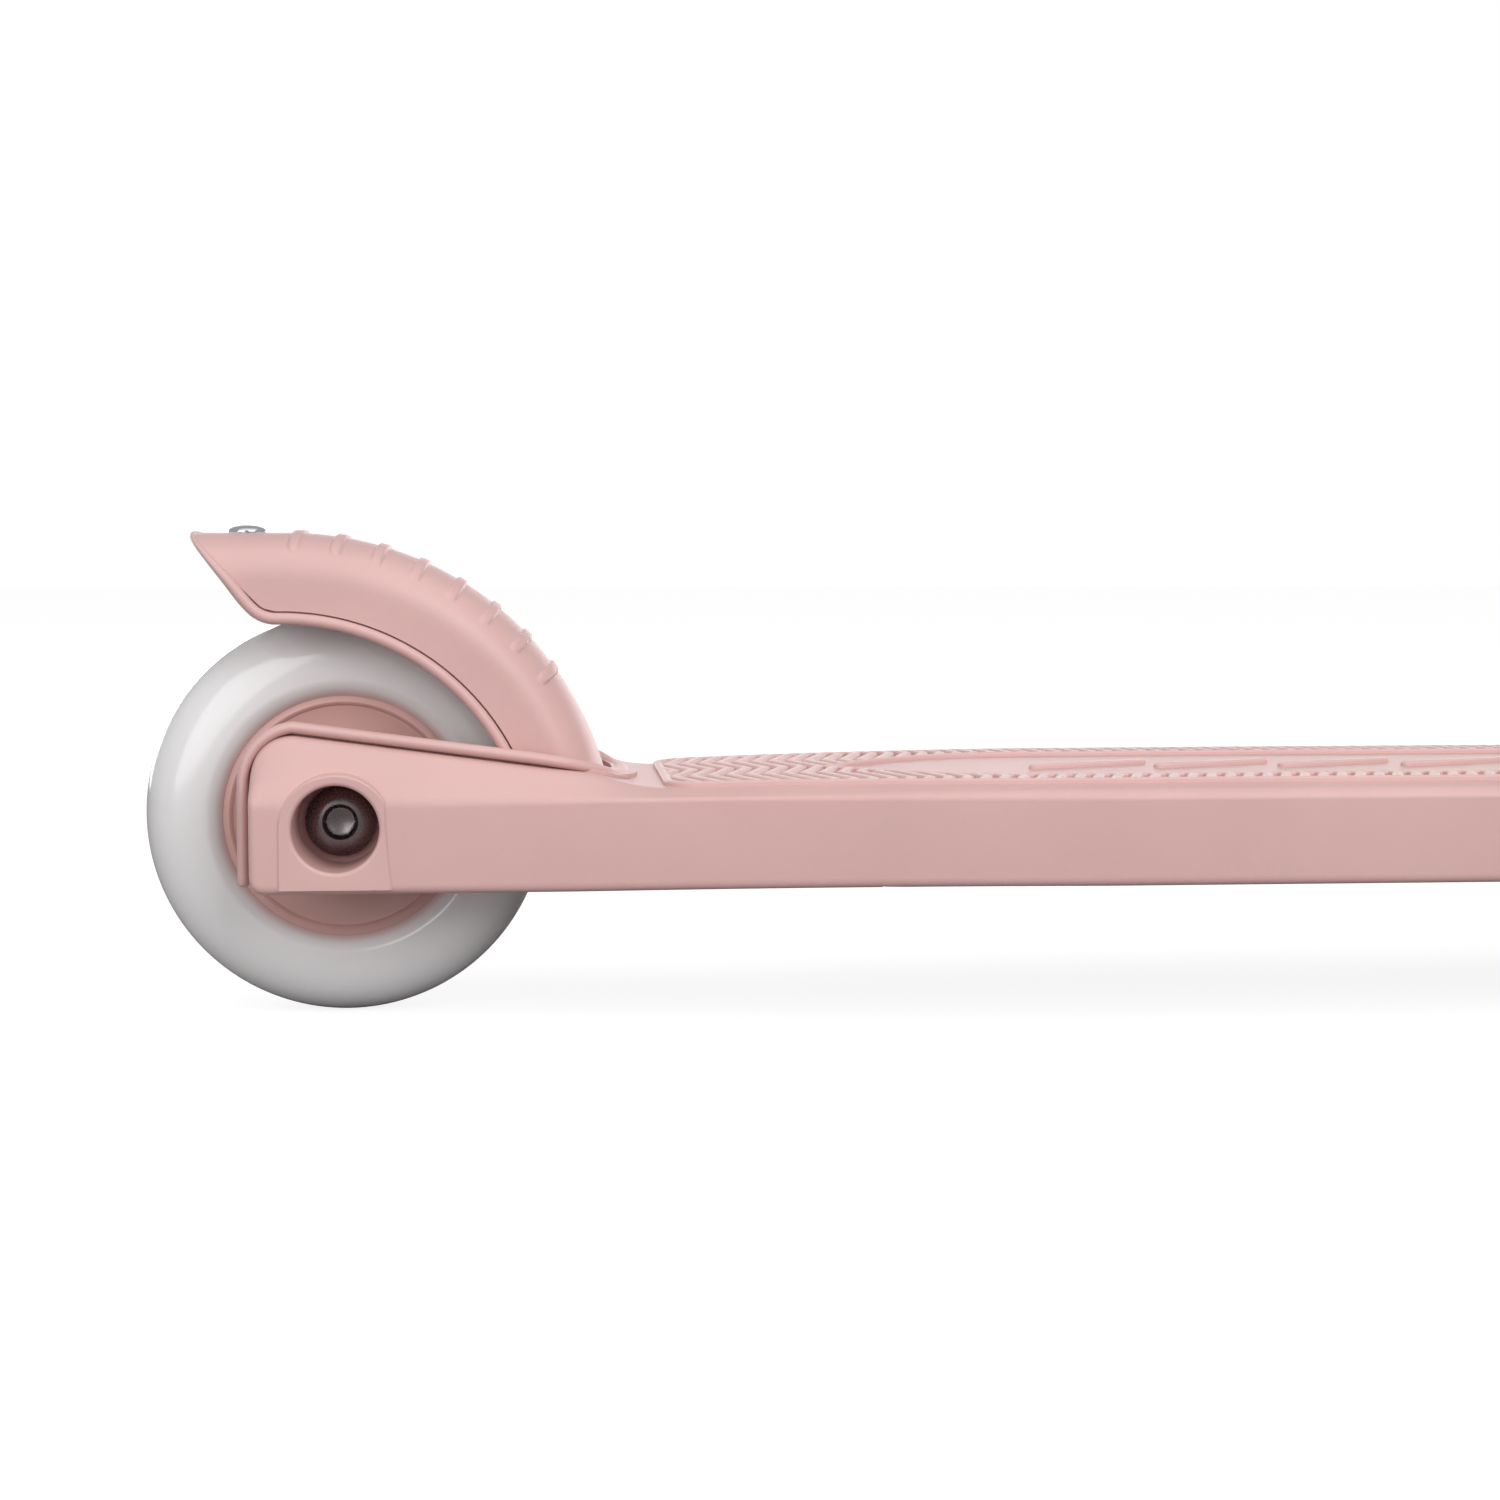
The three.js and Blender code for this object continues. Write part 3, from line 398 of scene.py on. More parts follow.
def area_light(name, location, target, size, power, tall=None):
    data = bpy.data.lights.new(name, "AREA")
    data.shape = "RECTANGLE"
    data.size = size
    data.size_y = tall or size
    data.energy = power
    light = bpy.data.objects.new(name, data)
    light.location = location
    light.rotation_euler = (Vector(target) - Vector(location)).to_track_quat("-Z", "Y").to_euler()
    light.visible_camera = False
    bpy.context.scene.collection.objects.link(light)


def light_studio():
    world = bpy.data.worlds.new("studio")
    bpy.context.scene.world = world
    world.use_nodes = True
    world.node_tree.nodes["Background"].inputs["Color"].default_value = (1, 1, 1, 1)
    tree = world.node_tree
    tree.links.new(seen_directly(tree, 1.0, 0.44), tree.nodes["Background"].inputs["Strength"])
    target = at(120, 0, 60)
    area_light("overhead", target + Vector((0.1, -0.3, 1.5)), target, 1.8, 7)
    area_light("key", target + Vector((-0.85, -1.25, 0.5)), target, 1.1, 8)
    area_light("fill", target + Vector((0.85, -1.4, 1.0)), target, 1.3, 17)
    area_light("backdrop", target + Vector((0.0, 1.8, 0.14)), target, 3.6, 12, 0.46)
    bpy.context.scene.view_settings.view_transform = "Standard"


def lay_floor():
    verts, faces = grid(lambda i, j: Vector((mix(-6, 6, i / 8), mix(-6, 6, j / 8), 0)), 9, 9)
    floor = make_object("studio_floor", verts, faces)
    floor.data.materials.append(floor_material())


place_camera()
light_studio()
lay_floor()

# ---- deck ----------------------------------------------------------------------------------------


def half_width(x):
    w = mix(TAIL_HALF, MID_HALF, ramp(x, 52, 152))
    w = mix(w, NOSE_HALF, ramp(x, 322, 412))
    end = max(0.0, x - (NOSE_END - 10))
    w -= 10 - sqrt(max(0.0, 100 - end * end))
    rear = max(0.0, REAR_END + 1.5 - x)
    return w - (1.5 - sqrt(max(0.0, 2.25 - rear * rear)))


def deck_bottom(x):
    z = mix(27.5, 28.8, ramp(x, 40, 140))
    z = z + 7 * max(0.0, (x - 400) / 40) ** 2
    rear = max(0.0, REAR_END + 2.8 - x)
    return z + 2.8 - sqrt(max(0.0, 2.8 ** 2 - rear * rear))


def arm_top(x):
    """The fork arms' top, under the lip."""
    return ARM_FRONT_TOP + ARM_SLOPE * (WELL_FRONT - x)


def deck_top(x):
    """The plain top, which rises to the tread and then runs level."""
    top = mix(arm_top(x), DECK_TOP - TAIL_DIP, ramp(x, 48, TREAD_START))
    if x > TREAD_START:
        top = DECK_TOP - TAIL_DIP * exp((TREAD_START - x) / 32)
    rear = max(0.0, REAR_END + 9 - x)
    return top - (9 - sqrt(max(0.0, 81 - rear * rear)))


def shoulder(x):
    """Where the top meets the slope down to the side: its distance out, and its height."""
    inner = mix(29.9, half_width(x) - EDGE_BAND, ramp(x, 54, 72))
    return inner, mix(45.2, 46.2, ramp(x, 20, 140))


def deck_section(x):
    """Half of the deck's outline at x, from the top's middle to the bottom's middle."""
    w, top, bottom = half_width(x), deck_top(x), deck_bottom(x)
    inner, crease = shoulder(x)
    crease = min(crease, top - 1.2)
    soft = mix(15, mix(1.9, 1.3, ramp(x, 60, 150)), ramp(x, -6, 24))
    bend = mix(0.74, 0.38, ramp(x, 60, 150))
    return rounded([(0, top, 0), (inner * 0.5, top, 0.01), (inner, top, 1.6),
                    (mix(inner, w, 0.74), mix(top, crease, bend), 1.4), (w, crease, soft),
                    (w, bottom, 2.0), (0, bottom, 0)], 7)


def deck_stations():
    """Close together at the two ends, where the outline turns quickly."""
    ends = [REAR_END + 9 * (1 - cos(pi / 2 * i / 22)) for i in range(22)]
    middle = [REAR_END + 9 + i * 2.0 for i in range(int((NOSE_END - 10 - REAR_END - 9) / 2) + 1)]
    nose = [NOSE_END - 10 + 10 * sin(pi / 2 * i / 14) for i in range(1, 15)]
    return ends + middle + nose


def deck_body():
    stations = deck_stations()
    sections = []
    for x in stations:
        half = deck_section(x)
        ring = [(y, z) for y, z in half] + [(-y, z) for y, z in reversed(half[1:-1])]
        sections.append(ring)
    return grid(lambda i, j: at(stations[i], *sections[i][j]), len(stations), len(sections[0]),
                wrap_v=True, cap_u=True)


def block(place, x0, x1, y0, y1, z0, z1):
    """A box in the frame that place(x, y, z) stands in."""
    corner = [place(x, y, z) for x in (x0, x1) for y in (y0, y1) for z in (z0, z1)]
    return corner, [(0, 1, 3, 2), (4, 6, 7, 5), (0, 4, 5, 1), (2, 3, 7, 6), (0, 2, 6, 4), (1, 5, 7, 3)]


def well_outline(grow, rear):
    half, front, corner = WELL_HALF + grow, WELL_FRONT + grow, WELL_CORNER + grow
    near = [(mix(rear, front - corner, k / 16), -half) for k in range(16)]
    turn = [(front - corner + corner * sin(a), -half + corner - corner * cos(a))
            for a in (pi / 2 * k / 14 for k in range(15))]
    far = [(x, -y) for x, y in reversed(near + turn)]
    return near + turn + far


def prism(outline, z0, z1):
    count = len(outline)
    return grid(lambda i, j: at(*outline[j], (z0, z1)[i]), 2, count, wrap_v=True, cap_u=True)


PAD_PROUD = 0.4
MOUTH_R = 0.8


def pad_tool(side):
    """The slightly raised pad round the recess, running down to the arm's bottom edge."""
    top = [(-10.9 * cos(a), REAR_R + 10.4 * sin(a)) for a in (pi * k / 24 for k in range(25))]
    outline = [(-10.9, 28.4)] + top + [(10.7, 28.4)]
    outline = [(min(x, mix(9.6, 10.9, ramp(REAR_R + 2 - z, 0, 12))), z) for x, z in outline]

    def point(i, j):
        x, z = outline[j]
        shrink = (1.02, 1.0, 0.965)[i]
        depth = (TAIL_HALF - 3, TAIL_HALF + 0.05, TAIL_HALF + PAD_PROUD)[i]
        return at(x * shrink, side * depth, mix(REAR_R, z, shrink if z > 29 else 1.0))

    return grid(point, 3, len(outline), wrap_v=True, cap_u=True)


def recess_tool(side):
    """The round recess, with its softly rounded mouth."""
    face = TAIL_HALF + PAD_PROUD
    profile = [(0.0, RECESS_SEAT), (RECESS_R, RECESS_SEAT), (RECESS_R, face - MOUTH_R)]
    profile += [(RECESS_R + MOUTH_R * (1 - cos(a)), face - MOUTH_R * (1 - sin(a))) for a in
                (pi / 2 * k / 8 for k in range(1, 9))]
    profile += [(RECESS_R + MOUTH_R, face + 4), (0.0, face + 4)]
    return turned(profile, about_y(0, 0, REAR_R, side), 64)


def pocket_tools():
    parts = []
    count, pitch, wall, roof = 8, 36, 3, 45
    for i in range(count):
        start = 68 + i * pitch
        wide = 32 if i == 0 else 36 if i == count - 1 else 41
        for y0, y1 in ((-wide, -wall / 2), (wall / 2, wide)):
            parts.append(block(at, start, start + pitch - wall, y0, y1, 10, roof))
    return parts


def make_deck():
    deck = make_object("deck_body", *deck_body(), sharp=40)
    boolean(deck, make_object("well_tool", *prism(well_outline(0, -60), 10, 90)))
    inner = [(0.0, 14.2), (11.5, 14.2), (11.5, WELL_HALF + 2), (0.0, WELL_HALF + 2)]
    for side in (-1, 1):
        boolean(deck, make_object("boss_tool", *turned(inner, about_y(0, 0, REAR_R, side), 48)), "UNION")
        boolean(deck, make_object("pad_tool", *pad_tool(side)), "UNION")
    for side in (-1, 1):
        boolean(deck, make_object("recess_tool", *recess_tool(side)))
    bore = [(0.0, -40), (4.15, -40), (4.15, 40), (0.0, 40)]
    boolean(deck, make_object("bore_tool", *turned(bore, about_y(0, 0, REAR_R), 32)))
    for tool in pocket_tools():
        boolean(deck, make_object("pocket_tool", *tool))
    clean(deck, 28, 1e-6)
    dress(deck, "frame", "pink_plastic", ["deck"])


make_deck()

# ---- anti-slip tread -----------------------------------------------------------------------------

TREAD_HALF, TREAD_END = 39.5, 398.0
REAR_CORNER, FRONT_CORNER = 7.0, 12.0
RIDGE, RIDGE_LIFT = 0.88, 0.06
BORDER_HALF, LENS_HALF = 0.95, 0.9
ROW_STEP, ZIG_ROW, ZIG_LEG, RIDGE_PITCH = 0.765, 15.3, 4.6, 3.72
ISLAND_START, ISLAND_END, ISLAND_HALF = 98.0, 356.0, 28.5


def zigzag(y):
    """How far a ridge has stepped along the deck at y: its corners lie in rows ZIG_ROW apart."""
    t = (abs(y) / ZIG_ROW) % 2
    return ZIG_LEG * (abs(t - 1) - 0.5)


def tread_half(x):
    """The panel's half-width, rounded at its corners and narrowing with the deck."""
    half = min(TREAD_HALF, half_width(x) - EDGE_BAND)
    for gap, corner in ((x - TREAD_START, REAR_CORNER), (TREAD_END - x, FRONT_CORNER)):
        if gap < corner:
            half -= corner - sqrt(max(0.0, corner ** 2 - (corner - max(0.0, gap)) ** 2))
    return half


def island_half(x):
    """The plain lens in the middle: pointed at the rear, rounder in front."""
    if not ISLAND_START < x < ISLAND_END:
        return 0.0
    rear = 1 - (1 - min(1.0, (x - ISLAND_START) / 42)) ** 2.2
    front = 1 - (1 - min(1.0, (ISLAND_END - x) / 60)) ** 2.2
    return ISLAND_HALF * rear * front


def tread_columns():
    """Each ridge's steps along the deck, from one valley to the next, with its height there."""
    ridge = ((0.0, 0.0), (0.13, 0.0), (0.22, 0.8), (0.31, 1.0), (0.69, 1.0), (0.78, 0.8), (0.87, 0.0))
    count = int((TREAD_END - TREAD_START + 2 * ZIG_LEG) / RIDGE_PITCH) + 1
    first = TREAD_START - ZIG_LEG
    return [(first + (k + share) * RIDGE_PITCH, height) for k in range(count) for share, height in ridge]


def ridge_field():
    """The zigzag ridges, flat over the lens, as one closed slab let into the deck."""
    columns = tread_columns()
    side_rows = int(TREAD_HALF / ROW_STEP)
    rows = [k * ROW_STEP for k in range(-side_rows, side_rows + 1)]
    count = len(rows)

    def point(i, j):
        base, height = columns[i]
        half = tread_half(min(TREAD_END, max(TREAD_START, base))) - 0.5
        y = max(-half, min(half, rows[j]))
        x = min(TREAD_END - 0.4, max(TREAD_START + 0.4, base + zigzag(y)))
        half = tread_half(x) - 0.5
        y = max(-half, min(half, y))
        inside = abs(y) < island_half(x)
        return at(x, y, deck_top(x) + RIDGE_LIFT + (0.0 if inside else RIDGE * height))

    verts, faces = grid(point, len(columns), count)
    last = (len(columns) - 1) * count
    rim = [i * count for i in range(len(columns))]
    rim += [last + j for j in range(1, count)]
    rim += [i * count + count - 1 for i in range(len(columns) - 2, -1, -1)]
    rim += [j for j in range(count - 2, 0, -1)]
    start, around = len(verts), len(rim)
    verts += [Vector((verts[k].x, verts[k].y, 46.2 * MM)) for k in rim]
    for k in range(around):
        faces.append((rim[k], rim[(k + 1) % around], start + (k + 1) % around, start + k))
    faces.append(tuple(start + k for k in range(around)))
    return verts, faces


def ridge_loop(path, half):
    """A rounded ridge along a closed path on the deck's top, its feet a little below the surface."""
    section = [(-half, -0.4), (-half + 0.04, 0.55), (-half + 0.2, 0.72), (-half + 0.5, RIDGE)]
    section += [(-across, up) for across, up in reversed(section)]
    count = len(path)

    def point(i, j):
        before, after = path[i - 1], path[(i + 1) % count]
        length = hypot(after[0] - before[0], after[1] - before[1])
        across, up = section[j]
        x = path[i][0] - (after[1] - before[1]) / length * across
        y = path[i][1] + (after[0] - before[0]) / length * across
        return at(x, y, deck_top(path[i][0]) + RIDGE_LIFT + up)

    return grid(point, count, len(section), wrap_u=True, wrap_v=True)


def border_path():
    """The panel's outline, drawn in by the ridge's half-width."""
    rear, front = REAR_CORNER - BORDER_HALF, FRONT_CORNER - BORDER_HALF
    stops = [TREAD_START + REAR_CORNER - rear * cos(pi / 2 * k / 12) for k in range(12)]
    stops += [mix(TREAD_START + REAR_CORNER, TREAD_END - FRONT_CORNER, k / 110) for k in range(111)]
    stops += [TREAD_END - FRONT_CORNER + front * sin(pi / 2 * k / 14) for k in range(1, 15)]
    near = []
    for x in stops:
        half = min(TREAD_HALF, half_width(x) - EDGE_BAND) - BORDER_HALF
        gap = max(TREAD_START + REAR_CORNER - x, 0.0)
        half -= rear - sqrt(max(0.0, rear ** 2 - gap ** 2))
        gap = max(x - TREAD_END + FRONT_CORNER, 0.0)
        half -= front - sqrt(max(0.0, front ** 2 - gap ** 2))
        near.append((x, -half))
    return near + [(x, -y) for x, y in reversed(near)]


def island_path():
    """The lens's outline, blunt by a ridge's width at its two ends."""
    stops = [ISLAND_START + 80 * (k / 60) ** 1.6 for k in range(60)]
    stops += [mix(ISLAND_START + 80, ISLAND_END - 50, k / 50) for k in range(50)]
    stops += [ISLAND_END - 50 * (1 - k / 50) ** 1.6 for k in range(51)]
    near = [(x, -max(1.0, island_half(x))) for x in stops]
    return near + [(x, -y) for x, y in reversed(near)]


def slanted_bar(x):
    """One plain raised bar with round ends, lying aslant across the lens."""
    half_length, radius, lean = 13.0, 1.5, radians(24)

    def point(i, j):
        inset, up = ((0, -0.4), (0.04, 0.55), (0.2, 0.72), (0.5, RIDGE))[i]
        turn = 2 * pi * j / 32
        reach = half_length if cos(turn) > 0 else -half_length
        along = reach + (radius - inset) * cos(turn)
        aside = (radius - inset) * sin(turn)
        px = x + along * cos(lean) - aside * sin(lean)
        return at(px, along * sin(lean) + aside * cos(lean), deck_top(px) + RIDGE_LIFT + up)

    return grid(point, 4, 32, wrap_v=True, cap_u=True)


def make_tread():
    bars = [slanted_bar(152 + 26 * k) for k in range(7)]
    loops = [ridge_loop(border_path(), BORDER_HALF), ridge_loop(island_path(), LENS_HALF)]
    parts = [ridge_field(), *loops, *bars]
    piece("deck_tread", parts, "frame", "pink_plastic", (), 30, tread_plastic_painted_shade())


make_tread()

# ---- wheel-well liner with its bead lip ----------------------------------------------------------

BEAD_HALF = 1.15
BEAD_WIDE = 1.7
BEAD_AWAY = 1.6
LIP_GAP = 0.4
LIP_FOOT = 28.9
LOOP_START, LOOP_FRONT = 38.0, 55.6
FRONT_SINK = 1.4
SHELF_IN, SHELF_OUT, SHELF_THICK = 2.2, 3.0, 1.4


def carried_frames(path):
    """At each point of a path: the way forward, and two crossways directions carried along untwisted."""
    frames = []
    across = Vector((0, 1, 0))
    for i in range(len(path)):
        forward = (path[min(len(path) - 1, i + 1)] - path[max(0, i - 1)]).normalized()
        across = (across - forward * across.dot(forward)).normalized()
        frames.append((forward, across, across.cross(forward)))
    return frames


def slot_front(a, grow=0.0):
    """Round the slot's front on a squarish oval: a runs from 0 at the near side to a quarter turn."""
    x = LOOP_START + (LOOP_FRONT - LOOP_START + grow) * sin(a) ** 0.9
    return x, -(WELL_HALF + BEAD_AWAY + grow) * max(0.0, cos(a)) ** 0.9


def bead_path():
    """The bead's middle line, from one fork arm's foot over the arm, round the slot's front and back."""
    offset = BEAD_HALF + LIP_GAP
    rear = REAR_END - offset - 0.1
    radius = 9 + offset + 0.3
    top_start = rear + radius
    height = arm_top(top_start) + offset + 0.25
    side = WELL_HALF + BEAD_AWAY
    near = [at(rear - 0.1, -side, LIP_FOOT + k * 1.1) for k in range(9)]
    near += [at(top_start - radius * cos(a), -side, height - radius + radius * sin(a))
             for a in (radians(3 + 80 * k / 20) for k in range(21))]
    rim = [(mix(top_start + 1.5, LOOP_START, k / 12), -side) for k in range(12)]
    rim += [slot_front(pi / 2 * k / 24) for k in range(25)]
    for x, y in rim:
        sink = ramp(x, LOOP_START, WELL_FRONT) + FRONT_SINK * ramp(-y, side, 12)
        near.append(at(x, y, max(arm_top(x), deck_top(x)) + offset - sink))
    return near + [Vector((p.x, -p.y, p.z)) for p in reversed(near[:-1])]


def lip_bead():
    """One rounded bead round the slot, with blunt rounded ends at the fork's feet."""
    path = bead_path()
    frames = carried_frames(path)
    count, ends = len(path), 4

    def point(i, j):
        k = min(count - 1, max(0, i - ends))
        forward, across, out = frames[k]
        beyond = max(0.0, ends - i, i - ends - count + 1) / ends
        size = sqrt(max(0.0, 1 - beyond * beyond))
        push = (-beyond if i < ends else beyond) * 0.7 * MM
        turn = 2 * pi * j / 20
        wide = BEAD_WIDE * max(size, 0.02) * cos(turn) * MM
        return path[k] + forward * push + across * wide + out * (BEAD_HALF * size * sin(turn) * MM)

    return grid(point, count + 2 * ends, 20, wrap_v=True, cap_u=True)


def front_shelf():
    """The liner's thin ledge that closes the slot between the fender's foot and the deck."""

    def point(i, j):
        share = i / 20 - 1
        x, y = slot_front(pi / 2 * (1 - 0.6 * abs(share)), -SHELF_IN if j in (0, 3) else SHELF_OUT)
        top = max(arm_top(x), deck_top(x)) - 0.15
        return at(x, y if share < 0 else -y, top if j < 2 else top - SHELF_THICK)

    return grid(point, 41, 4, wrap_v=True, cap_u=True)


def liner_wall():
    """The thin wall between the wheel and the deck, down both arms and across the front."""
    outline = well_outline(-0.3, REAR_END - 1.8)
    inner = well_outline(-2.3, REAR_END - 1.8)

    def point(i, j):
        x, y = (outline if j < 2 else inner)[i]
        top = mix(arm_top(x) + LIP_GAP + 0.9, deck_top(x) + 0.5, ramp(x, 40, WELL_FRONT))
        rear_corner = max(0.0, REAR_END + 9 - x)
        top -= 9 - sqrt(max(0.0, 81 - min(81.0, rear_corner ** 2)))
        return at(x, y, (LIP_FOOT + 1.5, top, top, LIP_FOOT + 1.5)[j])

    return grid(point, len(outline), 4, wrap_v=True, cap_u=True)


def make_liner():
    wall = make_object("liner_wall", *liner_wall())
    opening = [(0.0, -40), (11.8, -40), (11.8, 40), (0.0, 40)]
    boolean(wall, make_object("opening_tool", *turned(opening, about_y(0, 0, REAR_R), 48)))
    clean(wall, 50, 1e-6)
    dress(wall, "frame", "pink_plastic")
    piece("well_liner", [lip_bead(), front_shelf()], "frame", "pink_plastic", ["tail_liner"], 50)


make_liner()

# ---- rear wheel ----------------------------------------------------------------------------------


def tyre_profile(outer, inner, face, half=12.0):
    """A soft step up from the core, then a full round section with a slightly flattened flank."""
    middle = inner + 3.6
    side = [(mix(inner, middle, k / 10), mix(face, half, sin(k / 10 * pi / 2))) for k in range(10)]
    crown = []
    power = 2 / 2.45
    for k in range(61):
        turn = pi / 2 * (1 - 2 * k / 60)
        rise = abs(sin(turn)) ** power * (1 if turn > 0 else -1)
        crown.append((middle + (outer - middle) * abs(cos(turn)) ** power, half * rise))
    far = [(r, -y) for r, y in reversed(side)]
    return side + crown + far + [side[0]]


def make_rear_wheel():
    place = about_y(0, 0, REAR_R)
    centre = at(0, 0, REAR_R)
    tyre_skin = cast_tyre("rear_tyre_cast", centre, 24.1)
    piece("rear_tyre_cast", [turned(tyre_profile(REAR_R, 23.97, 9.7), place, 160)], "rear_wheel", "tyre_pu",
          ["rear_tyre"], 30, tyre_skin)
    face, web = 9.6, 8.5
    half = [(11.1, face), (14.0, face), (14.6, face - 0.3), (15.6, web + 0.2), (16.6, web), (20.4, web),
            (21.2, web + 0.25), (22.0, web + 0.4), (22.4, face), (22.8, face + 0.15), (23.2, face),
            (23.96, face)]
    profile = half + [(r, -y) for r, y in reversed(half)] + [half[0]]
    piece("rear_core", [turned(profile, place, 128)], "rear_wheel", "wheel_core", ["rear_hub"], 40)


def make_axle_bolt():
    """Domed button head with its hex socket, chamfer ring and drill dimple, on the scooter's right side."""
    head = RECESS_SEAT + 0.1
    dome = [(0.0, -46 + head), (4.0, -46 + head), (4.0, 0.0), (6.6, 0.0), (7.0, 0.3), (7.0, 1.2)]
    dome += [(3.5 + 3.5 * cos(a), 1.2 + 3.2 * sin(a)) for a in (pi / 2 * k / 12 for k in range(1, 13))]
    dome += [(0.0, 4.4)]
    place = about_y(0, -head, REAR_R, -1)
    bolt = make_object("axle_bolt", *turned(dome, place, 72), sharp=30)
    chamfer = turned([(0.0, 3.2), (2.7, 3.2), (3.5, 4.4), (3.5, 6), (0.0, 6)], place, 48)
    boolean(bolt, make_object("chamfer_tool", *chamfer))
    hexagon = [(2.89 * cos(pi / 3 * k), 2.89 * sin(pi / 3 * k)) for k in range(6)]
    socket = grid(lambda i, j: place(*hexagon[j], (2.9, 6)[i]), 2, 6, wrap_v=True, cap_u=True)
    boolean(bolt, make_object("socket_tool", *socket))
    dimple = turned([(0.0, 1.9), (2.5, 3.0), (0.0, 3.0)], place, 32)
    boolean(bolt, make_object("dimple_tool", *dimple))
    clean(bolt, 25, 1e-6)
    dress(bolt, "frame", "dark_steel", ["rear_axle_bolt"])


make_rear_wheel()
make_axle_bolt()

# ---- fender brake --------------------------------------------------------------------------------

FENDER_BASE = radians(14)
RIB_COUNT, RIB_FIRST, RIB_PITCH = 8, -8.6, 8.45
CORNER_R = 5.0
SIDE_SHARE, SIDE_DROP = 0.72, 9.2


def fender_profile(v, grow=0.0):
    """The fender's section: v runs from -1 to 1 across it; gives the distance across and the drop."""
    t = abs(v)
    half, drop = FENDER_HALF, FENDER_DEPTH + grow
    bend = [(0, 0), (half * 0.62, 0), (half, 1.8), (half, SIDE_DROP)]
    if t <= SIDE_SHARE:
        s = t / SIDE_SHARE
        weights = [(1 - s) ** 3, 3 * s * (1 - s) ** 2, 3 * s * s * (1 - s), s ** 3]
        y = sum(w * p[0] for w, p in zip(weights, bend))
        d = sum(w * p[1] for w, p in zip(weights, bend))
    else:
        y, d = half, mix(SIDE_DROP, drop, (t - SIDE_SHARE) / (1 - SIDE_SHARE))
    return (y if v >= 0 else -y), d


CORNER_RUN = FENDER_X - FENDER_TIP - FENDER_DEPTH - CORNER_R * (sqrt(2) - 1)


def crown_run(d, grow=0.0):
    """How far a line at drop d runs behind the arch's top before the slanted rear cut stops it."""
    below = d - (FENDER_DEPTH - CORNER_R)
    reach = CORNER_R + grow
    if below > reach * cos(pi / 4):
        return CORNER_RUN + sqrt(max(0.0, reach ** 2 - below ** 2))
    return FENDER_X - FENDER_TIP - d + grow * sqrt(2)


def crown_point(run, y, d, lift=0.0):
    """A point on the fender: run is the length along the crown from the arch's top, forwards positive."""
    if run >= 0:
        turn = pi / 2 - run / FENDER_R
        r = FENDER_R - d + lift
        return at(FENDER_X + r * cos(turn), y, FENDER_Z + r * sin(turn))
    return at(FENDER_X + run, y, FENDER_Z + FENDER_R - d + lift)


FRONT_RUN = FENDER_R * (pi / 2 - FENDER_BASE)


def rib_height(run, y):
    """Pill-shaped ribs across the crown."""
    k = round((run + FENDER_X - RIB_FIRST) / RIB_PITCH)
    k = min(RIB_COUNT - 1, max(0, k))
    along = (run + FENDER_X - RIB_FIRST - k * RIB_PITCH) / 1.15
    beyond = max(0.0, abs(y) - 18.4) / 1.15
    reach = along * along + beyond * beyond
    return 0.6 * min(1.0, 1.4 * sqrt(1 - reach)) if reach < 1 else 0.0


def closed_shell(inset, grow, thickness, nu, nv, ribs):
    """A closed arched shell: inset from the outside, its edges grown by `grow`."""

    def skin(i, j, depth):
        v = -1 + 2 * j / (nv - 1)
        y, d = fender_profile(v, grow)
        shrink = inset + depth
        fade = 1 - ramp(abs(v), 0.35, 0.8)
        behind = min(1.0, grow) * mix(0.2, 0.9, ramp(d, 3, 10))
        run = mix(-crown_run(d + shrink * fade, behind), FRONT_RUN, i / (nu - 1))
        lift = rib_height(run, y) if ribs and depth == 0 else 0.0
        return crown_point(run, y * (FENDER_HALF - shrink) / FENDER_HALF, d + shrink * fade, lift)

    def ring(i, j):
        return skin(i, j, 0.0) if j < nv else skin(i, 2 * nv - 1 - j, thickness)

    total = 2 * nv
    verts, faces = grid(ring, nu, total, wrap_v=True)
    for start in (0, (nu - 1) * total):
        for j in range(nv - 1):
            faces.append((start + j, start + j + 1, start + total - 2 - j, start + total - 1 - j))
    return verts, faces


def bead_size(d):
    """The edge bead is thickest along the lower edge and thins towards the tip."""
    return mix(0.55, 1.15, ramp(d, 1, FENDER_DEPTH - 2))


def fender_bead_path():
    """Along the near lower edge, round the corner, up the rear cut to the tip, and mirrored; with sizes."""
    half = FENDER_HALF + 0.1
    out = bead_size(FENDER_DEPTH) + 0.3
    path = [(mix(FRONT_RUN, -CORNER_RUN + 1, k / 40), FENDER_DEPTH + out, half) for k in range(41)]
    reach = CORNER_R + out
    for k in range(9):
        a = pi / 4 * k / 8
        path.append((-CORNER_RUN - reach * sin(a), FENDER_DEPTH - CORNER_R + reach * cos(a), half))
    corner_drop = FENDER_DEPTH - CORNER_R * (1 - cos(pi / 4))
    corner_share = SIDE_SHARE + (1 - SIDE_SHARE) * (corner_drop - SIDE_DROP) / (FENDER_DEPTH - SIDE_DROP)
    for k in range(1, 61):
        across, d = fender_profile(corner_share * (1 - k / 60))
        out = bead_size(d) + mix(0.3, -0.2, ramp(k, 0, 18))
        y = half * across / FENDER_HALF
        path.append((-(FENDER_X - FENDER_TIP - d) - out * cos(pi / 4), d + out * cos(pi / 4), y))
    near = [(crown_point(run, -y, d), bead_size(d)) for run, d, y in path]
    far = [(Vector((p.x, -p.y, p.z)), size) for p, size in reversed(near[:-1])]
    return near + far


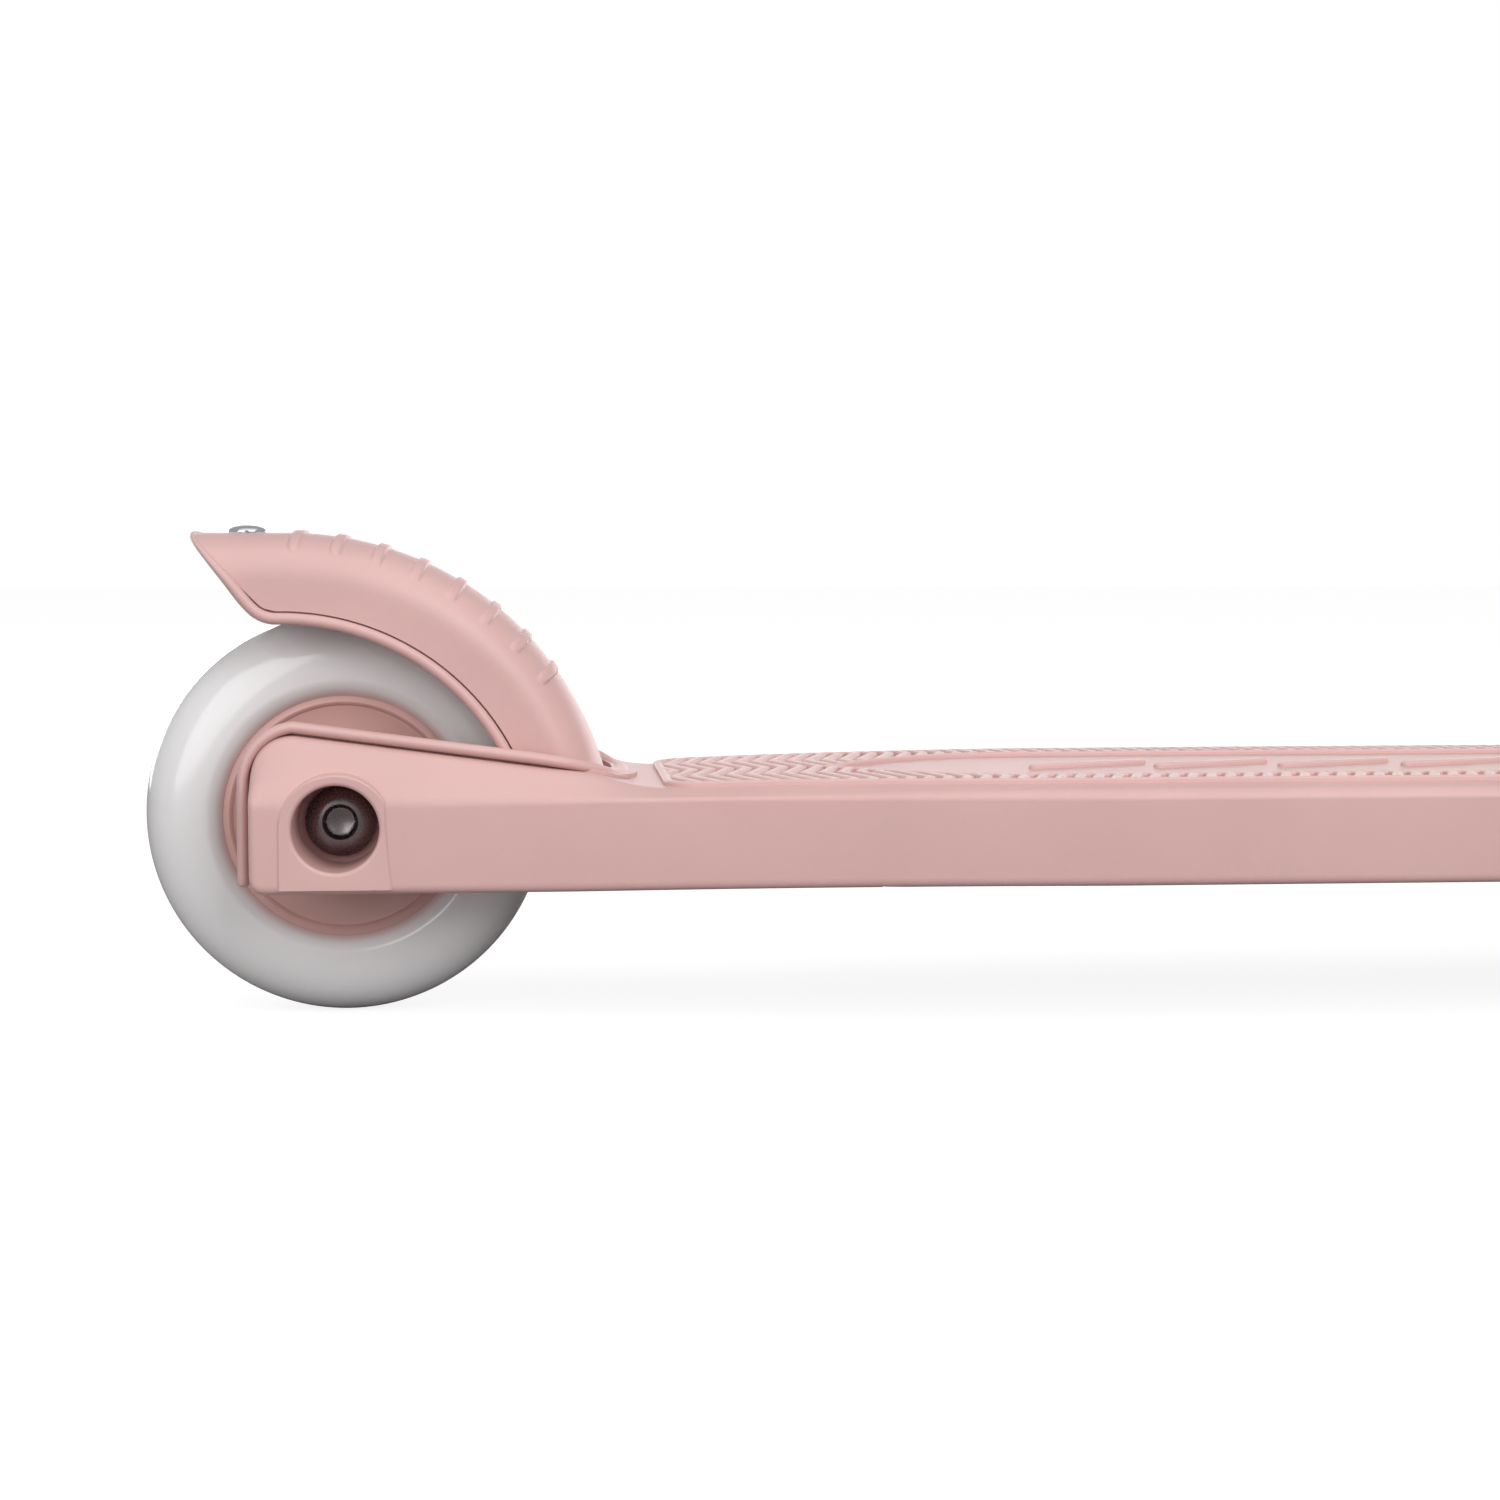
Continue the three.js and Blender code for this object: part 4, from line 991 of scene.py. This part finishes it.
def make_fender():
    cover = closed_shell(0.0, 0.0, 1.9, 430, 91, True)
    piece("fender_shell", [cover], "fender_brake", "pink_plastic", ["fender_cover"], 40)
    route = fender_bead_path()
    path = [p for p, _ in route]
    frames = carried_frames(path)

    def bead_point(i, j):
        turn = 2 * pi * j / 16
        size = route[i][1] * MM
        _, across, out = frames[i]
        return path[i] + across * (size * 1.1 * cos(turn)) + out * (size * sin(turn))

    bead = grid(bead_point, len(path), 16, wrap_v=True, cap_u=True)
    lining = closed_shell(2.2, 1.2, 1.8, 90, 41, False)
    piece("fender_lining", [bead, lining], "fender_brake", "pink_plastic", ["fender_liner"], 50)


def make_rivet():
    crown = FENDER_Z + FENDER_R
    dome = [(0.0, -6.5), (1.9, -6.5), (1.9, 0.05), (3.85, 0.05), (3.88, 0.3)]
    dome += [(3.88 * cos(a), 0.3 + 1.3 * sin(a)) for a in (pi / 2 * k / 10 for k in range(1, 10))]
    dome += [(0.0, 1.6)]
    verts, faces = turned(dome, lambda a, b, up: at(-19.4 + a, b, crown + up), 48)
    piece("fender_rivet_dome", [(verts, faces)], "fender_brake", "chrome", ["fender_rivet"], 30)


make_fender()
make_rivet()

# ---- front wheels --------------------------------------------------------------------------------

FRONT_X, FRONT_R, WHEEL_Y = 460.0, 60.0, 113.0


def wedge_ring(inner, outer, turn, half, place, y0, y1):
    """A window between two spokes, as a closed block about a wheel's axis."""
    steps = 12
    outline = [(outer * cos(turn + half * t), outer * sin(turn + half * t)) for t in
               (mix(-1, 1, k / steps) for k in range(steps + 1))]
    outline += [(inner * cos(turn + half * 0.72 * t), inner * sin(turn + half * 0.72 * t)) for t in
                (mix(1, -1, k / steps) for k in range(steps + 1))]
    return grid(lambda i, j: place(*outline[j], (y0, y1)[i]), 2, len(outline), wrap_v=True, cap_u=True)


def make_front_wheel(name, side):
    place = about_y(FRONT_X, side * WHEEL_Y, FRONT_R, side)
    body = f"front_wheel_{name}"
    skin = cast_tyre(f"front_tyre_cast_{name}", at(FRONT_X, side * WHEEL_Y, FRONT_R), 43.9)
    profile = tyre_profile(FRONT_R, 43.85, 10.7)
    piece(f"front_tyre_cast_{name}", [turned(profile, place, 160)], body, "tyre_pu",
          [f"front_tyre_{name}"], 30, skin)
    face, rim = 10.4, 43.8
    half = [(11.15, face - 0.3), (11.5, face), (15.6, face), (16, face - 0.4), (17.5, 4.4), (18.2, 4),
            (rim - 6.6, 4), (rim - 6, 4.3), (rim - 4.3, face - 0.3), (rim - 4, face),
            (rim - 0.3, face), (rim, face - 0.3)]
    ring = half + [(r, -y) for r, y in reversed(half)] + [half[0]]
    hub = make_object(f"front_core_{name}", *turned(ring, place, 120))
    turns = [2 * pi * k / 5 for k in range(5)]
    windows = joined(*(wedge_ring(21, rim - 9, turn, radians(24), place, -12, 12) for turn in turns))
    boolean(hub, make_object("window_tool", *windows))
    clean(hub, 30, 1e-6)
    dress(hub, body, "wheel_core", [f"front_hub_{name}"])
    y = 10.1
    dome = [(0.0, y), (10.8, y)]
    dome += [(10.8 * cos(a), y + 0.5 + 1.2 * sin(a)) for a in (pi / 2 * k / 10 for k in range(10))]
    dome += [(0.0, y + 1.7)]
    piece(f"wheel_cap_dome_{name}", [turned(dome, place, 64)], body, "pink_plastic",
          [f"front_wheel_cap_{name}"])


for wheel_name, wheel_side in (("left", 1), ("right", -1)):
    make_front_wheel(wheel_name, wheel_side)

# ---- column, clamp and handlebar -----------------------------------------------------------------

COLUMN_LEAN = radians(-9)
COLUMN_TOP, BAR_HEIGHT, CLAMP_HEIGHT, BUTTON_HEIGHT = 372.0, 615.0, 364.0, 70.0
OUTER_TUBE, INNER_TUBE = 16.0, 13.7
BAR_R, GRIP_R, GRIP_START, GRIP_END = 11.0, 14.5, 62.0, 122.0


def on_mast(x, y, z):
    """A point in the column's own frame: z runs up it from its foot and -x is towards the rider."""
    level, lean = cos(COLUMN_LEAN), sin(COLUMN_LEAN)
    return at(458 + x * level + z * lean, y, 58 - x * lean + z * level)


def along_bar(a, b, along):
    return on_mast(a, along, BAR_HEIGHT + b)


def across_mast(height):
    """For pieces turned about the line that points back at the rider."""
    return lambda a, b, along: on_mast(-along, a, height + b)


def tube_ring(outer, wall, z0, z1):
    edge, inner = 0.4, outer - wall
    return [(inner, z0), (outer - edge, z0), (outer, z0 + edge), (outer, z1 - edge), (outer - edge, z1),
            (inner + edge, z1), (inner, z1 - edge), (inner, z0)]


def make_column():
    hole = turned([(0.0, 8), (5.4, 8), (5.4, 40), (0.0, 40)], across_mast(BUTTON_HEIGHT), 48)
    outer = make_object("outer_tube", *turned(tube_ring(OUTER_TUBE, 2, 9.3, COLUMN_TOP), on_mast, 96))
    boolean(outer, make_object("hole_tool", *hole))
    clean(outer, 30, 1e-6)
    dress(outer, "frame", "aluminium", ["steering_column"])
    shape = rounded([(0, 6, 0), (19, 6, 0), (19, 44.4, 0), (23.5, 44.4, 0.5), (23.5, 50, 1.2), (21.5, 54, 3),
                     (20.5, 84, 3), (19.5, 88, 1.2), (16.3, 88, 0.6), (16.3, 9, 0), (0, 9, 0)], 5)
    socket = make_object("socket_cup", *turned(shape, on_mast, 96))
    boolean(socket, make_object("hole_tool", *hole))
    clean(socket, 30, 1e-6)
    dress(socket, "frame", "white_plastic", ["column_socket"])
    bevel(socket, 0.3, 2, 50)
    button = rounded([(0, 12.6, 0), (5, 12.6, 0), (5, 24, 1.2), (0, 24, 0)], 6)
    piece("release_button_dome", [turned(button, across_mast(BUTTON_HEIGHT), 48)], "release_button",
          "pink_plastic", ["release_button"])
    inner = turned(tube_ring(INNER_TUBE, 1.5, 270, BAR_HEIGHT - 14.3), on_mast, 96)
    piece("inner_tube", [inner], "handlebar", "aluminium", ["upper_tube"])


def make_collar():
    bore, neck, top = OUTER_TUBE + 0.3, INNER_TUBE + 0.3, 378
    ring = rounded([(bore, 350, 0), (20.5, 350, 0.6), (20.5, top - 2, 0), (18.5, top, 1.0), (neck, top, 0.4),
                    (neck, COLUMN_TOP + 0.3, 0), (bore, COLUMN_TOP + 0.3, 0), (bore, 350, 0)], 4)
    ring[-1] = ring[0]
    collar = make_object("collar", *turned(ring, on_mast, 96))
    ears = make_object("ears", *block(on_mast, -31, -17, -7, 7, 353, top - 3))
    inside = turned([(0.0, 300), (18, 300), (18, 400), (0.0, 400)], on_mast, 96)
    boolean(ears, make_object("bore_tool", *inside))
    boolean(collar, ears, "UNION")
    boolean(collar, make_object("slot_tool", *block(on_mast, -60, -10, -1.5, 1.5, 300, 420)))
    bolt_hole = turned([(0.0, -30), (3.2, -30), (3.2, 30), (0.0, 30)],
                       lambda a, b, along: on_mast(-26 + a, along, CLAMP_HEIGHT + b), 32)
    boolean(collar, make_object("bolt_tool", *bolt_hole))
    clean(collar, 30, 1e-6)
    dress(collar, "frame", "white_plastic", ["clamp_collar"])
    bevel(collar, 0.5, 3, 50)


def make_handlebar():
    tube = [(0.0, -118), (BAR_R, -118), (BAR_R, 118), (0.0, 118)]
    bar = make_object("bar_body", *turned(tube, along_bar, 80))
    half = [(0.0, 0.0, 0), (16.5, 0, 0), (16.5, 12, 8), (14, 26, 10), (BAR_R + 0.4, 46, 3), (0.0, 46, 0)]
    shape = rounded(half, 8)[1:]
    swell = [(r, -y) for r, y in reversed(shape)] + shape[1:]
    boolean(bar, make_object("swell_tool", *turned(swell, along_bar, 80)), "UNION")
    stem = rounded([(0, BAR_HEIGHT - 52, 0), (17, BAR_HEIGHT - 52, 0.8), (17.6, BAR_HEIGHT - 46, 2),
                    (17, BAR_HEIGHT - 8, 2), (0, BAR_HEIGHT, 0)], 5)
    boolean(bar, make_object("stem_tool", *turned(stem, on_mast, 80)), "UNION")
    bore = [(0.0, 400), (INNER_TUBE + 0.3, 400), (INNER_TUBE + 0.3, BAR_HEIGHT - 14), (0.0, BAR_HEIGHT - 14)]
    boolean(bar, make_object("bore_tool", *turned(bore, on_mast, 80)))
    screw = turned([(0.0, 10), (2.65, 10), (2.65, 40), (0.0, 40)], across_mast(BAR_HEIGHT - 34), 32)
    boolean(bar, make_object("screw_tool", *screw))
    clean(bar, 30, 1e-6)
    dress(bar, "handlebar", "pink_plastic", ["handlebar"])
    bevel(bar, 0.8, 3, 40)


def make_grip(name, side):
    """A soft sleeve with a hand stop, fine grooves and a rounded end."""
    bore = BAR_R + 0.2
    shape = [(bore, GRIP_START, 0), (GRIP_R + 2.5, GRIP_START, 0.8), (GRIP_R + 2.5, GRIP_START + 3, 1.2),
             (GRIP_R, GRIP_START + 5, 1.5)]
    for k in range(11):
        y = GRIP_START + 9 + k * 4.0
        groove = GRIP_R - 0.8
        shape += [(GRIP_R, y, 0.3), (groove, y + 0.6, 0.3), (groove, y + 1.2, 0.3), (GRIP_R, y + 1.8, 0.3)]
    shape += [(GRIP_R, GRIP_END, 3.5), (0, GRIP_END, 0)]
    profile = [(0.0, 118.3), (bore, 118.3)] + rounded(shape, 4)

    def place(a, b, along):
        return along_bar(a, b, side * along)

    piece(f"grip_sleeve_{name}", [turned(profile, place, 96)], "handlebar", "grip_rubber",
          [f"grip_{name}"], 40)


make_column()
make_collar()
make_handlebar()
for grip_name, grip_side in (("left", 1), ("right", -1)):
    make_grip(grip_name, grip_side)

# ---- CAD nodes that stay -------------------------------------------------------------------------


def finish_cad_nodes():
    """Gives every CAD node that still shows its material and slightly rounded edges."""
    slots = {row["node"]: row["material_slot"] for row in frame["record"]["subparts"]}
    for name, obj in frame["nodes"].items():
        slot = slots[name]
        material = MATERIALS.get(slot)
        if material is None:
            low, high = (Vector(v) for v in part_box(name))
            material = cast_tyre(name + "_cast", (low + high) / 2, 44.0)
        obj.data.materials.clear()
        obj.data.materials.append(material)
        low, high = (Vector(v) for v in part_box(name))
        bevel(obj, 0.6 if max(high - low) > 0.05 else 0.2, 2, 38)


finish_cad_nodes()
